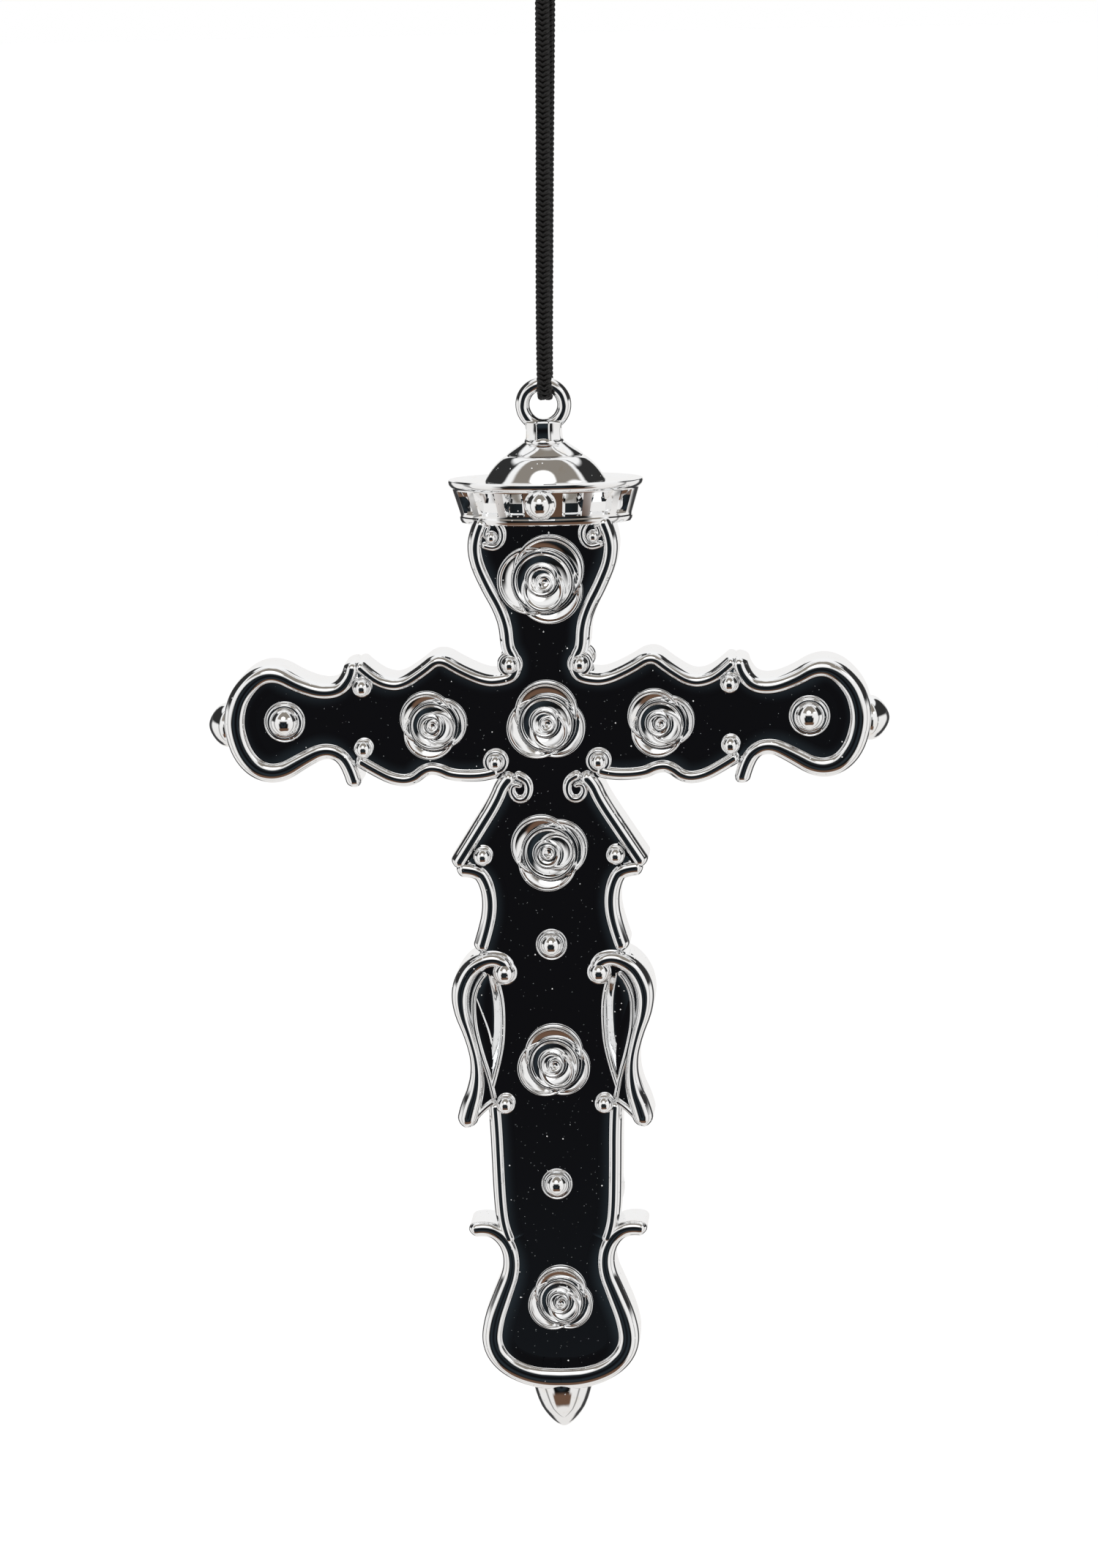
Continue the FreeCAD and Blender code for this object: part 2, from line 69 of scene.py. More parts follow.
# ---- depths, measured out from the parting plane y = 0
PLATE = 3.6                 # the recessed mirror plate
CREST = 4.5                 # the rails' crest
INNER_BASE = 3.3            # where an inner rail's rounding starts, just under the plate
WALL_TOP = 2.9              # where the rails' outer round meets the side wall
WALL_OUT = 0.42             # how far the outer round runs past a rail's measured edge
APRON, APRON_RISE = 1.9, 0.075       # the plate rises a little, softly, towards the rails
APRON_STEPS = (0.03, 0.1, 0.2, 0.35, 0.5, 0.65, 0.8, 1.0)
MIN_APRON = 0.04            # the share of its apron that a rail keeps off the plate
SECTION_POWER = 2.25        # a rail's section is a superellipse, a little squarer than round
SECTION_STEPS = 10
RAIL_STEP = 0.28            # between the sections along a rail
CAP_ANGLES = (4, 12, 22, 34, 47, 61, 76, 90)     # of the sections in a rail's round ends
OUTER_CAP = 1.15            # an outer rail's ends are longer than they are wide
BRACKET_CREST = 5.0
FLANK_CREST = 3.4
LENS_CREST = 4.15
LENS_FLOOR, LENS_LIP = 2.75, 0.15    # the lens's floor, and how far its edge is over the plate
LENS_SLOPE, LENS_WALL = 1.25, 0.35   # widths of its plate side's slope and of its outer wall

# ---- outlines of the right half, corner points of smooth lines (x, z)
HEAD = [(8.3, 39.0), (9.55, 36.6), (9.55, 33.2), (7.9, 29.3), (6.3, 26.4), (5.35, 23.6),
        (5.2, 20.5)]
HEAD_TURN = [(4.45, 19.3), (4.0, 17.9), (4.5, 16.3), (6.2, 15.7)]
ARM_TOP = [(4.7, 17.6), (5.2, 15.75), (8.6, 15.55), (12.3, 17.2), (15.2, 19.05),
           (17.4, 17.2), (20.6, 15.15), (23.0, 15.3), (25.3, 16.6), (27.2, 18.4)]
ARM_END = [(27.55, 18.7), (27.6, 17.1), (29.3, 14.6), (32.2, 14.15), (35.6, 15.3),
           (38.6, 17.05), (41.3, 16.65), (43.8, 14.0), (44.7, 11.2), (44.7, 8.6),
           (43.6, 5.2), (41.4, 3.0), (38.5, 2.65), (35.0, 4.7), (32.3, 6.05), (29.8, 5.6),
           (28.2, 3.3), (27.5, 0.5)]
ARM_BOTTOM = [(27.4, 4.7), (24.6, 2.95), (22.0, 1.65), (19.6, 1.5), (17.5, 3.25),
              (15.5, 3.15), (13.6, 2.15), (8.6, 2.1), (6.9, 2.9)]
SKIRT = [(4.8, 2.1), (6.2, 1.0), (7.4, -1.9), (10.1, -6.1), (12.2, -9.4), (13.5, -11.4)]
WAIST = [(13.4, -11.6), (10.4, -11.6), (9.0, -13.6), (8.5, -16.8), (9.1, -20.3),
         (10.3, -23.8)]
BRACKET_EDGE = [(11.2, -25.7), (12.8, -28.6), (13.1, -30.6), (12.4, -33.6), (11.4, -36.7),
                (10.9, -40.0), (11.2, -43.2), (11.8, -46.5), (12.5, -48.5), (11.8, -48.3),
                (10.3, -46.8), (8.9, -45.9)]
SHAFT = [(8.7, -45.9), (8.45, -49.0), (8.3, -56.0), (8.1, -62.0), (7.6, -65.2), (6.8, -67.0)]
FOOT = [(12.9, -65.1), (11.6, -64.6), (8.9, -65.0), (6.9, -67.5), (6.6, -71.0), (8.0, -74.6),
        (9.5, -78.6), (9.95, -82.2), (8.2, -85.1), (4.5, -86.95), (0.0, -87.45)]
PLATE_EDGE = (HEAD + ARM_TOP[1:-1] + ARM_END[1:-1] + [(27.6, 4.8)] + ARM_BOTTOM[1:-1]
              + SKIRT[1:-1] + WAIST + BRACKET_EDGE + SHAFT[1:-1] + FOOT[3:-1])

HEAD_AND_ARM = HEAD + HEAD_TURN + ARM_TOP[2:]
SCROLL = [(3.7, 0.3), (4.7, 0.9), (5.4, -0.2), (4.6, -1.6), (3.2, -1.5), (2.6, 0.0),
          (3.2, 1.6), (4.8, 2.1), (6.2, 1.0), (7.0, -1.0)]
CROWN_SCROLL = [(6.6, 38.6), (5.7, 37.7), (5.6, 36.2), (6.2, 35.2), (7.3, 34.8), (8.7, 35.4)]
CROWN_CURL = [(7.2, 36.3), (7.6, 36.2), (8.2, 36.6), (8.1, 37.4), (7.6, 38.2)]
CROWN_CURL_BEAD = (7.25, 36.35, 0.95)

# bracket: the thick rail that leaves the ball, thins and ends in the tail, with its widths
BRACKET_RAIL = [(6.6, -27.0), (6.3, -25.6), (8.6, -24.6), (11.5, -25.8), (13.25, -28.8),
                (13.35, -32.2), (12.0, -36.3), (11.1, -40.2), (11.3, -44.0), (12.4, -47.1),
                (13.0, -49.7)]
BRACKET_WIDTHS = [2.4, 2.4, 2.4, 2.7, 2.9, 2.5, 1.8, 1.8, 2.5, 3.2, 3.0]
FLANK = [(10.5, -24.6), (12.3, -26.5), (13.5, -28.6), (13.7, -30.6), (12.5, -33.8),
         (11.45, -36.8), (11.15, -40.0), (11.55, -43.2), (12.8, -47.0), (12.4, -49.1)]
BRACKET_BALL = (6.8, -26.9, 1.8)
LENS_INNER = [(8.2, -27.6), (7.4, -30.0), (7.2, -34.0), (7.6, -39.0), (9.2, -44.2)]
LENS_OUTER = [(9.6, -26.9), (11.4, -28.9), (11.6, -34.0), (10.6, -38.6), (9.3, -42.8),
              (8.8, -45.6)]
LENS_TIP = (9.15, -44.3)    # where the floor ends, a little above the rails' meeting
TAIL_SPUR = [(8.6, -45.7), (10.3, -46.7), (11.9, -48.7)]

SKIRT_WEB = [(9.9, -8.0), (13.4, -11.5), (9.9, -11.9), (9.4, -9.7)]
SKIRT_POCKET = [(10.4, -9.9), (11.2, -9.9), (11.9, -11.0), (10.7, -11.3)]

# ---- ornaments
ROSES = {"top": (0.0, 30.1, 6.6, 60), "left": (-16.3, 9.4, 5.0, 130),
         "centre": (0.0, 9.6, 5.9, 90), "right": (16.3, 9.4, 5.0, 130),
         "skirt": (0.0, -9.2, 5.7, 140), "shaft": (0.0, -40.2, 5.5, 90),
         "foot": (0.2, -75.5, 4.9, 90)}         # centre x, z, radius, first petal's direction
CORNER_BEADS = [(5.02, 18.1), (7.38, 4.0)]
BEADS = [(26.3, 15.0), (26.3, 6.15), (9.54, -9.7), (7.14, -46.2)]
BEAD_R = 1.4
BOSSES = {"left": -37.6, "right": 37.6}
BOSS_Z, BOSS_BASE, BOSS_DOME = 10.1, 2.95, 2.35
STUDS = {"upper": -22.8, "lower": -58.2}
STUD_BASE, STUD_DOME = 2.25, 1.82
SHARP, SMOOTH_ALL = 40, 100          # edges over this angle stay sharp; a rose has none

# ---- crown, dome, hanger
CROWN_X = 0.4
CROWN_Z0, CROWN_Z1 = 38.1, 44.3
CROWN_FOOT, CROWN_BRIM = (11.9, 5.3), (13.8, 7.1)
CROWN_MIDDLE = 41.2
RING_X, RING_Z, RING_R, WIRE_R = 0.35, 54.84, 2.98, 1.02
RING_DEEP = 1.03            # the ring's wire is a little thicker front to back
NECK_CORNER = ((0.30, 0.93), (0.345, 0.98), (0.39, 0.92), (0.93, 0.82), (1.0, 0.74))

# ---- cord
CORD_WIDTH = 2.1
KNOT_X, KNOT_Z, LOOP_R = 1.97, 117.5, 4.45
YARNS, YARN_R, YARN_SIDES = 4, 0.3, 8
YARN_WIDE, YARN_HIGH = 1.12, 0.8     # a yarn is pressed flat
PITCH, BRAID_THICK = 2.9, 0.24       # length of one turn of the braid, and its half depth
BRAID_STEP = 0.18


# ---- paths
PATH_STEP, TANGENT_REACH = 0.05, 0.3


class Path:
    """A smooth line through its corner points, with values such as a width along it."""

    def __init__(self, points, values=None, closed=False):
        values = values or [1.0] * len(points)
        if closed:
            points = [points[-1]] + list(points) + [points[0]]
            values = [values[-1]] + list(values) + [values[0]]
        self.p, self.w = [], []
        for i in range(1, len(points) - 1):
            a, b, c = (Vector(points[k]) for k in (i - 1, i, i + 1))
            wa, wb, wc = values[i - 1], values[i], values[i + 1]
            first, last = i == 1 and not closed, i == len(points) - 2 and not closed
            start, end = (a if first else (a + b) / 2), (c if last else (b + c) / 2)
            w0, w1 = (wa if first else (wa + wb) / 2), (wc if last else (wb + wc) / 2)
            n = max(6, int(((b - start).length + (end - b).length) / PATH_STEP))
            for k in range(n):
                t = k / n
                self.p.append(start * (1 - t) ** 2 + b * 2 * t * (1 - t) + end * t * t)
                self.w.append(w0 * (1 - t) ** 2 + wb * 2 * t * (1 - t) + w1 * t * t)
        self.p.append(end if not closed else self.p[0].copy())
        self.w.append(w1 if not closed else self.w[0])
        self.s = [0.0]
        for a, b in zip(self.p, self.p[1:]):
            self.s.append(self.s[-1] + (b - a).length)
        self.length = self.s[-1]

    def at(self, s):
        """Point and value at a distance along the line."""
        s = min(max(s, 0.0), self.length)
        lo, hi = 0, len(self.s) - 1
        while hi - lo > 1:
            mid = (lo + hi) // 2
            if self.s[mid] <= s:
                lo = mid
            else:
                hi = mid
        t = (s - self.s[lo]) / max(self.s[hi] - self.s[lo], 1e-9)
        return self.p[lo].lerp(self.p[hi], t), self.w[lo] * (1 - t) + self.w[hi] * t

    def tangent(self, s):
        a = self.at(max(s - TANGENT_REACH, 0.0))[0]
        b = self.at(min(s + TANGENT_REACH, self.length))[0]
        return (b - a).normalized()


# ---- meshes
THINNEST = 0.01             # the least radius of a ring of points, so that no ring is a point


class Solid:
    """Closed shells gathered into one object; (x, h, z) with h out towards the front."""

    def __init__(self):
        self.verts, self.faces = [], []

    def add(self, verts, faces):
        base = len(self.verts)
        self.verts += [Vector(v) for v in verts]
        self.faces += [tuple(base + i for i in f) for f in faces]
        return self

    def add_mirrored(self, verts, faces):
        self.add(verts, faces)
        return self.add([(-v[0], v[1], v[2]) for v in verts], faces)

    def merged(self, other, mirror_x=False):
        side = -1 if mirror_x else 1
        return self.add([(side * v[0], v[1], v[2]) for v in other.verts], other.faces)

    def build(self, name, back, sharp):
        side = 1 if back else -1
        mesh = bpy.data.meshes.new(name)
        mesh.from_pydata([(v[0] * MM + DATUM.x, side * v[1] * MM, v[2] * MM + DATUM.z)
                          for v in self.verts], [], self.faces)
        bm = bmesh.new()
        bm.from_mesh(mesh)
        bmesh.ops.remove_doubles(bm, verts=bm.verts, dist=1e-7)
        bmesh.ops.dissolve_degenerate(bm, edges=bm.edges, dist=1e-8)
        bmesh.ops.recalc_face_normals(bm, faces=bm.faces)
        limit = math.radians(sharp)
        for face in bm.faces:
            face.smooth = True
        for edge in bm.edges:
            if len(edge.link_faces) == 2:
                edge.smooth = edge.calc_face_angle(0) < limit
        bm.to_mesh(mesh)
        bm.free()
        obj = bpy.data.objects.new(name, mesh)
        bpy.context.scene.collection.objects.link(obj)
        return obj


def rings_to_solid(rings):
    """Equal closed rings of points skinned together and closed at both ends."""
    n = len(rings[0])
    verts = [v for ring in rings for v in ring]
    faces = [tuple(reversed(range(n)))]
    for r in range(len(rings) - 1):
        for k in range(n):
            a, b = r * n + k, r * n + (k + 1) % n
            faces.append((a, b, b + n, a + n))
    faces.append(tuple(range((len(rings) - 1) * n, len(rings) * n)))
    return verts, faces


def quarter(half, base, crest, power):
    """Rail section from its side, at the base height, up to just before the crest."""
    out = []
    for k in range(SECTION_STEPS):
        t = math.pi / 2 * k / SECTION_STEPS
        out.append((half * math.cos(t) ** (2 / power),
                    base + (crest - base) * math.sin(t) ** (2 / power)))
    return out


def over_plate(x, z):
    """Whether a point lies on the plate, which is alike on both sides of x = 0."""
    crossings = 0
    for (x0, z0), (x1, z1) in zip(PLATE_EDGE, PLATE_EDGE[1:]):
        if (z0 > z) != (z1 > z) and x0 + (z - z0) / (z1 - z0) * (x1 - x0) > abs(x):
            crossings += 1
    return crossings % 2 == 1


def apron_shares(places):
    """How much of its apron each station of a rail has: none where the rail leaves the plate."""
    on = [all(over_plate(x - tz * o, z + tx * o) for o in (-APRON / 2 - w / 2, -APRON - w / 2))
          for (x, z), w, (tx, tz) in places]
    near = [slice(max(0, i - 3), i + 4) for i in range(len(on))]
    kept = [all(on[here]) for here in near]
    return [max(MIN_APRON, sum(kept[here]) / len(kept[here])) for here in near]


def rail_section(width, crest, outer, k, power, share):
    """Points (offset, height) of a rail's section, from its outer foot over to its inner one.

    k goes from 1 down towards 0 in the rail's ends; share is how much of its apron it has."""
    out_half = (width / 2 + (WALL_OUT if outer else 0.0)) * k
    in_half = width / 2 * k
    base_out = WALL_TOP if outer else INNER_BASE
    base_in = PLATE + 0.94 * APRON_RISE * k if outer else INNER_BASE
    top = max(base_out + (crest - base_out) * (0.35 + 0.65 * k), base_in + 0.02)
    left = quarter(out_half, base_out, top, power)
    right = [(-o, h) for o, h in quarter(in_half, base_in, top, power)]
    foot_out, apron = out_half, []
    if outer:
        foot_out = out_half + 0.05 * k
        apron = [(-in_half - APRON * share * k * u,
                  PLATE + APRON_RISE * k * (1 - u) ** 2 - 0.002) for u in APRON_STEPS]
    return ([(foot_out, 0.0)] + left + [(0.0, top)] + list(reversed(right)) + apron
            + [(-in_half, 0.0)])


def rail(points, widths, crest=CREST, outer=True, power=SECTION_POWER):
    """A raised rail along a smooth line, with round ends, down to the parting plane."""
    if not isinstance(widths, list):
        widths = [widths] * len(points)
    line = Path(points, widths)
    longer = OUTER_CAP if outer else 1.0
    first, last = (line.at(s)[1] / 2 * longer for s in (0.0, line.length))
    count = max(1, round(line.length / RAIL_STEP))
    stations = [(s, 1.0) for s in (line.length * k / count for k in range(1, count))
                if first < s < line.length - last]
    for a in map(math.radians, CAP_ANGLES):
        stations += [(first * (1 - math.cos(a)), math.sin(a)),
                     (line.length - last * (1 - math.cos(a)), math.sin(a))]
    stations.sort()
    places = [(*line.at(s), line.tangent(s)) for s, k in stations]
    shares = apron_shares(places) if outer else [1.0] * len(places)
    rings = []
    for (s, k), ((x, z), width, (tx, tz)), share in zip(stations, places, shares):
        rings.append([(x - tz * o, h, z + tx * o)
                      for o, h in rail_section(width, crest, outer, k, power, share)])
    return rings_to_solid(rings)


def prism(outline, top, bottom, holes):
    """A flat slab between two heights, with holes through it."""
    loops = [list(outline)] + [list(h) for h in holes]
    coords, edges = [], []
    for loop in loops:
        base = len(coords)
        coords += [Vector(p) for p in loop]
        edges += [(base + k, base + (k + 1) % len(loop)) for k in range(len(loop))]
    got = delaunay_2d_cdt(coords, edges, [], 1, 1e-6)
    points, triangles = got[0], got[2]

    def inside(p, loop):
        hit = False
        for (x0, z0), (x1, z1) in zip(loop, loop[1:] + loop[:1]):
            if (z0 > p[1]) != (z1 > p[1]) and p[0] < (x1 - x0) * (p[1] - z0) / (z1 - z0) + x0:
                hit = not hit
        return hit

    keep = []
    for tri in triangles:
        middle = sum((points[i] for i in tri), Vector((0, 0))) / len(tri)
        if inside(middle, loops[0]) and not any(inside(middle, h) for h in loops[1:]):
            keep.append(tuple(tri))
    n = len(points)
    verts = [(p[0], top, p[1]) for p in points] + [(p[0], bottom, p[1]) for p in points]
    faces = keep + [tuple(n + i for i in reversed(t)) for t in keep]
    border = {}
    for tri in keep:
        for a, b in zip(tri, tri[1:] + tri[:1]):
            if (b, a) in border:
                del border[(b, a)]
            else:
                border[(a, b)] = True
    faces += [(b, a, a + n, b + n) for a, b in border]
    return verts, faces


def lathe(profile, place, axis, turns, scale=(1.0, 1.0)):
    """A turned solid: (radius, distance along the axis) points round an axis through a place."""
    rings = []
    for radius, along in profile:
        radius = max(radius, THINNEST)
        ring = []
        for k in range(turns):
            a = 2 * math.pi * k / turns
            u, v = radius * math.cos(a) * scale[0], radius * math.sin(a) * scale[1]
            offset = {"y": (u, along, v), "z": (u, v, along), "x": (along, v, u)}[axis]
            ring.append(tuple(p + o for p, o in zip(place, offset)))
        rings.append(ring)
    return rings_to_solid(rings)


def ball(x, h, z, radius, turns=32):
    steps = 18
    profile = [(radius * math.sin(math.pi * k / steps), -radius * math.cos(math.pi * k / steps))
               for k in range(steps + 1)]
    return lathe(profile, (x, h, z), "y", turns)


def dome_profile(base_r, height, base, steps):
    """A spherical cap's profile from its rim to its top."""
    big = (base_r ** 2 + height ** 2) / (2 * height)
    end = math.asin(min(1, base_r / big))
    if height > big:
        end = math.pi - end
    return [(big * math.sin(end * (1 - k / steps)),
             base + height - big + big * math.cos(end * (1 - k / steps)))
            for k in range(steps + 1)]


def torus(place, radius, wire, deep, turns, sides):
    """A ring of wire parallel to the plate, its depth multiplied by deep."""
    x, h, z = place
    verts, faces = [], []
    for t in range(turns):
        a, ahead = 2 * math.pi * t / turns, (t + 1) % turns * sides
        for j in range(sides):
            b, beside = 2 * math.pi * j / sides, (j + 1) % sides
            r = radius + wire * math.cos(b)
            verts.append((x + r * math.cos(a), h + wire * deep * math.sin(b),
                          z + r * math.sin(a)))
            faces.append((t * sides + j, t * sides + beside, ahead + beside, ahead + j))
    return verts, faces


# ---- the shells
def lens(solid):
    """The sunk crescent inside a bracket: a bright slope on the plate side and a dark floor."""
    inner, outer = Path(LENS_INNER), Path(LENS_OUTER[:-1] + [LENS_TIP])
    rows, columns = 70, 22
    depth = PLATE - LENS_FLOOR + LENS_LIP
    verts, loop_in, loop_out = [], [], []
    for r in range(rows + 1):
        t = r / rows
        a, b = inner.at(inner.length * t)[0], outer.at(outer.length * t)[0]
        loop_in.append((a.x, a.y))
        loop_out.append((b.x, b.y))
        gap = (b - a).length
        for c in range(columns + 1):
            u = c / columns
            p = a.lerp(b, u)
            drop = min(depth * min(1.0, gap * u / LENS_SLOPE) ** 1.2,
                       depth * min(1.0, gap * (1 - u) / LENS_WALL))
            drop += 0.10 * math.sin(math.pi * u) * min(1.0, gap / 3)
            verts.append((p.x, PLATE + LENS_LIP - drop, p.y))
    n = len(verts)
    verts += [(v[0], 1.0, v[2]) for v in verts[:n]]
    wide = columns + 1
    faces = []
    for r in range(rows):
        for c in range(columns):
            a = r * wide + c
            faces.append((a, a + 1, a + wide + 1, a + wide))
            faces.append((n + a, n + a + wide, n + a + wide + 1, n + a + 1))
    rim = ([c for c in range(wide)] + [r * wide + columns for r in range(1, rows + 1)]
           + [rows * wide + c for c in range(columns - 1, -1, -1)]
           + [r * wide for r in range(rows - 1, 0, -1)])
    faces += [(a, b, b + n, a + n) for a, b in zip(rim, rim[1:] + rim[:1])]
    solid.add_mirrored(verts, faces)
    return loop_in + list(reversed(loop_out))


def shell_half():
    """One half of the cross: plate, side walls, rails, brackets, curls and webs."""
    solid = Solid()
    hole = lens(solid)
    hole = [p for k, p in enumerate(hole)
            if k == 0 or (Vector(p) - Vector(hole[k - 1])).length > 0.02]
    edge = PLATE_EDGE + [(-x, z) for x, z in reversed(PLATE_EDGE)]
    solid.add(*prism(edge, PLATE, 0.0, [hole, [(-x, z) for x, z in hole]]))

    lines = [
        (HEAD_AND_ARM, [1.6] * len(HEAD) + [1.5] * 4 + [1.4] * 8, {}),
        (ARM_END, [1.7, 1.8, 1.8, 1.8, 1.9, 2.1, 2.3, 2.5, 2.6, 2.6, 2.6, 2.5, 2.4, 2.1, 1.9,
                   1.8, 1.8, 1.8], {}),
        (ARM_BOTTOM, 1.45, {}),
        (SCROLL[:-2], [0.9, 1.0, 1.15, 1.25, 1.3, 1.35, 1.4, 1.5],
         {"outer": False, "crest": 4.35}),
        (SKIRT, 1.7, {}),
        (WAIST, 1.75, {}),
        (SHAFT, 1.4, {}),
        (FOOT + [(-4.5, -86.95)],
         [1.7, 1.8, 1.9, 1.9, 2.0, 2.3, 2.5, 2.6, 2.6, 2.7, 2.9, 2.7], {}),
        (CROWN_SCROLL, 1.15, {"outer": False, "crest": 4.3}),
        (CROWN_CURL, 1.0, {"outer": False, "crest": 4.25}),
        (FLANK, [1.0, 1.0, 1.1, 1.1, 0.9, 0.8, 0.8, 0.9, 1.1, 1.0], {"crest": FLANK_CREST}),
        (BRACKET_RAIL, BRACKET_WIDTHS, {"outer": False, "crest": BRACKET_CREST, "power": 2.2}),
        (LENS_INNER, 0.75, {"outer": False, "crest": LENS_CREST}),
        (LENS_OUTER, 0.85, {"outer": False, "crest": LENS_CREST + 0.1}),
        (TAIL_SPUR, [1.0, 1.0, 0.9], {"outer": False, "crest": 4.3}),
    ]
    for points, widths, options in lines:
        solid.add_mirrored(*rail(points, widths, **options))
    solid.add_mirrored(*ball(BRACKET_BALL[0], 3.7, BRACKET_BALL[1], BRACKET_BALL[2]))
    solid.add_mirrored(*ball(CROWN_CURL_BEAD[0], 3.8, CROWN_CURL_BEAD[1],
                             CROWN_CURL_BEAD[2], 20))
    solid.add_mirrored(*prism(SKIRT_WEB, 4.15, 0.5, [SKIRT_POCKET]))
    corner_seat = [(0, 0), (1.45, 0.0), (1.55, 0.12), (1.5, 3.4), (1.3, 4.0), (0, 4.1)]
    seat = [(0, 0.5), (1.3, 0.5), (1.35, 3.7), (1.15, 3.95), (0, 4.0)]
    for x, z in CORNER_BEADS:
        solid.add_mirrored(*torus((x, 3.95, z), 1.42, 0.42, 0.9, 40, 14))
        solid.add_mirrored(*lathe(corner_seat, (x, 0, z), "y", 36))
    for x, z in BEADS:
        solid.add_mirrored(*lathe(seat, (x, 0, z), "y", 36))
    return solid


# ---- roses
CREASE = 0.20               # how far the crease between two petals is rounded
ROSE_R = 5.9                # the rose that the petals' rims were measured on
ROSE_AROUND, ROSE_OUT = 280, 110     # points round a rose and out from its middle
SKIRT_ROWS = ((0.10, 0.82), (0.16, 0.5), (0.20, -0.3))   # past the rim: how far, how high


def soft_max(a, b):
    """The higher of two heights, with the crease between them rounded."""
    blend = max(CREASE - abs(a - b), 0.0) / CREASE
    return max(a, b) + blend * blend * CREASE / 4


def petal_height(distance, middle, radius, shape):
    """Height of a petal: it climbs away from the rose's middle, flattens, and its rim rolls up.

    distance is from the petal's own middle and middle from the rose's."""
    start, run, floor, rise, lip, edge = shape
    t = min(1.0, max(0.0, (middle - start) / run))
    blade = floor + rise * (1 - (1 - t) ** 2)
    t = (distance - radius + edge) / edge
    if t <= 0.0:
        return blade
    if t <= 1.0:
        return blade + lip * math.sin(math.pi / 2 * min(1.0, t * 1.5)) ** 1.3
    past = (t - 1.0) * edge
    return blade + lip - 2.2 * past - 3.0 * past ** 2


def rose(name, seed):
    """Three wide outer petals, then four wrapped ones, each smaller and higher."""
    x0, z0, radius, turn = ROSES[name]
    rng = random.Random(seed)
    layers = []

    def ring_of(count, turn, offset, size, step, lean, shape):
        start, run, floor, rise, lip, edge = shape
        for k in range(count):
            a = math.radians(turn + 360 / count * k)
            layers.append((offset * radius * math.cos(a), offset * radius * math.sin(a),
                           size * radius * (1 - 0.03 * k), lean,
                           (start * radius, run * radius, floor - step * k, rise, lip,
                            edge * radius / ROSE_R)))

    ring_of(3, turn, 0.265, 0.735, 0.06, (0.0, 0.0), (0.55, 0.50, 0.12, 1.0, 0.20, 0.50))
    outer = list(layers)
    swing = turn + rng.uniform(-20, 20)
    ring_of(1, swing, 0.0, 0.66, 0.0, (0.11, -0.04), (0.34, 0.40, 0.80, 0.36, 0.20, 0.62))
    ring_of(1, swing + 215, 0.20, 0.44, 0.0, (0.10, -0.10), (0.26, 0.34, 1.15, 0.38, 0.17, 0.52))
    ring_of(1, swing + 60, 0.04, 0.31, 0.0, (0.04, -0.14), (0.10, 0.27, 1.55, 0.42, 0.17, 0.52))
    ring_of(1, swing - 70, 0.05, 0.15, 0.0, (-0.2, -0.2), (0.0, 0.16, 2.1, 0.36, 0.12, 0.46))

    def height(px, pz):
        middle = math.hypot(px, pz)
        top = -1.0
        for cx, cz, r, (lean_x, lean_z), shape in layers:
            dx, dz = px - cx, pz - cz
            distance = math.hypot(dx, dz)
            if distance < r + 1.2:
                top = soft_max(top, petal_height(distance, middle, r, shape)
                               + lean_x * dx + lean_z * dz)
        return top

    around = ROSE_AROUND
    rays = [(math.cos(2 * math.pi * k / around), math.sin(2 * math.pi * k / around))
            for k in range(around)]
    verts = [(x0, PLATE + height(0, 0), z0)]
    rims = []
    for ux, uz in rays:
        far = 0.0
        for cx, cz, r, *_ in outer:
            along = cx * ux + cz * uz
            across = cx * uz - cz * ux
            if abs(across) < r:
                far = max(far, along + math.sqrt(r * r - across * across))
        rims.append(far)
    for j in range(1, ROSE_OUT + 1):
        for (ux, uz), rim in zip(rays, rims):
            d = rim * j / ROSE_OUT
            px, pz = d * ux, d * uz
            verts.append((x0 + px, PLATE + height(px, pz), z0 + pz))
    levels = [height(rim * ux, rim * uz) for (ux, uz), rim in zip(rays, rims)]
    for extra, share in SKIRT_ROWS:
        for (ux, uz), rim, level in zip(rays, rims, levels):
            verts.append((x0 + (rim + extra) * ux, PLATE + level * share,
                          z0 + (rim + extra) * uz))
    faces = [(0, 1 + k, 1 + (k + 1) % around) for k in range(around)]
    rows = ROSE_OUT + len(SKIRT_ROWS) - 1
    for j in range(rows):
        for k in range(around):
            a, b = 1 + j * around + k, 1 + j * around + (k + 1) % around
            faces.append((a, a + around, b + around, b))
    last = 1 + rows * around
    faces.append(tuple(range(last, last + around)))
    return Solid().add(verts, faces)


# ---- round ornaments
def boss(x, z, base_r, dome_r):
    """A stepped round seat with a raised rim and a polished dome."""
    seat = [(0, PLATE - 0.3), (base_r, PLATE - 0.3), (base_r, PLATE + 0.25),
            (base_r - 0.06, PLATE + 0.42), (base_r - 0.18, PLATE + 0.52),
            (base_r - 0.34, PLATE + 0.48), (base_r - 0.45, PLATE + 0.36),
            (dome_r + 0.05, PLATE + 0.30), (0, PLATE + 0.30)]
    top = ([(0, PLATE), (dome_r, PLATE)]
           + dome_profile(dome_r, dome_r * 0.92, PLATE + 0.25, 12))
    return Solid().add(*lathe(seat, (x, 0, z), "y", 56)).add(*lathe(top, (x, 0, z), "y", 48))


def beads():
    solid = Solid()
    for x, z in CORNER_BEADS:
        solid.add_mirrored(*ball(x, 4.45, z, 1.28))
    for x, z in BEADS:
        solid.add_mirrored(*ball(x, 4.3, z, BEAD_R))
    return solid


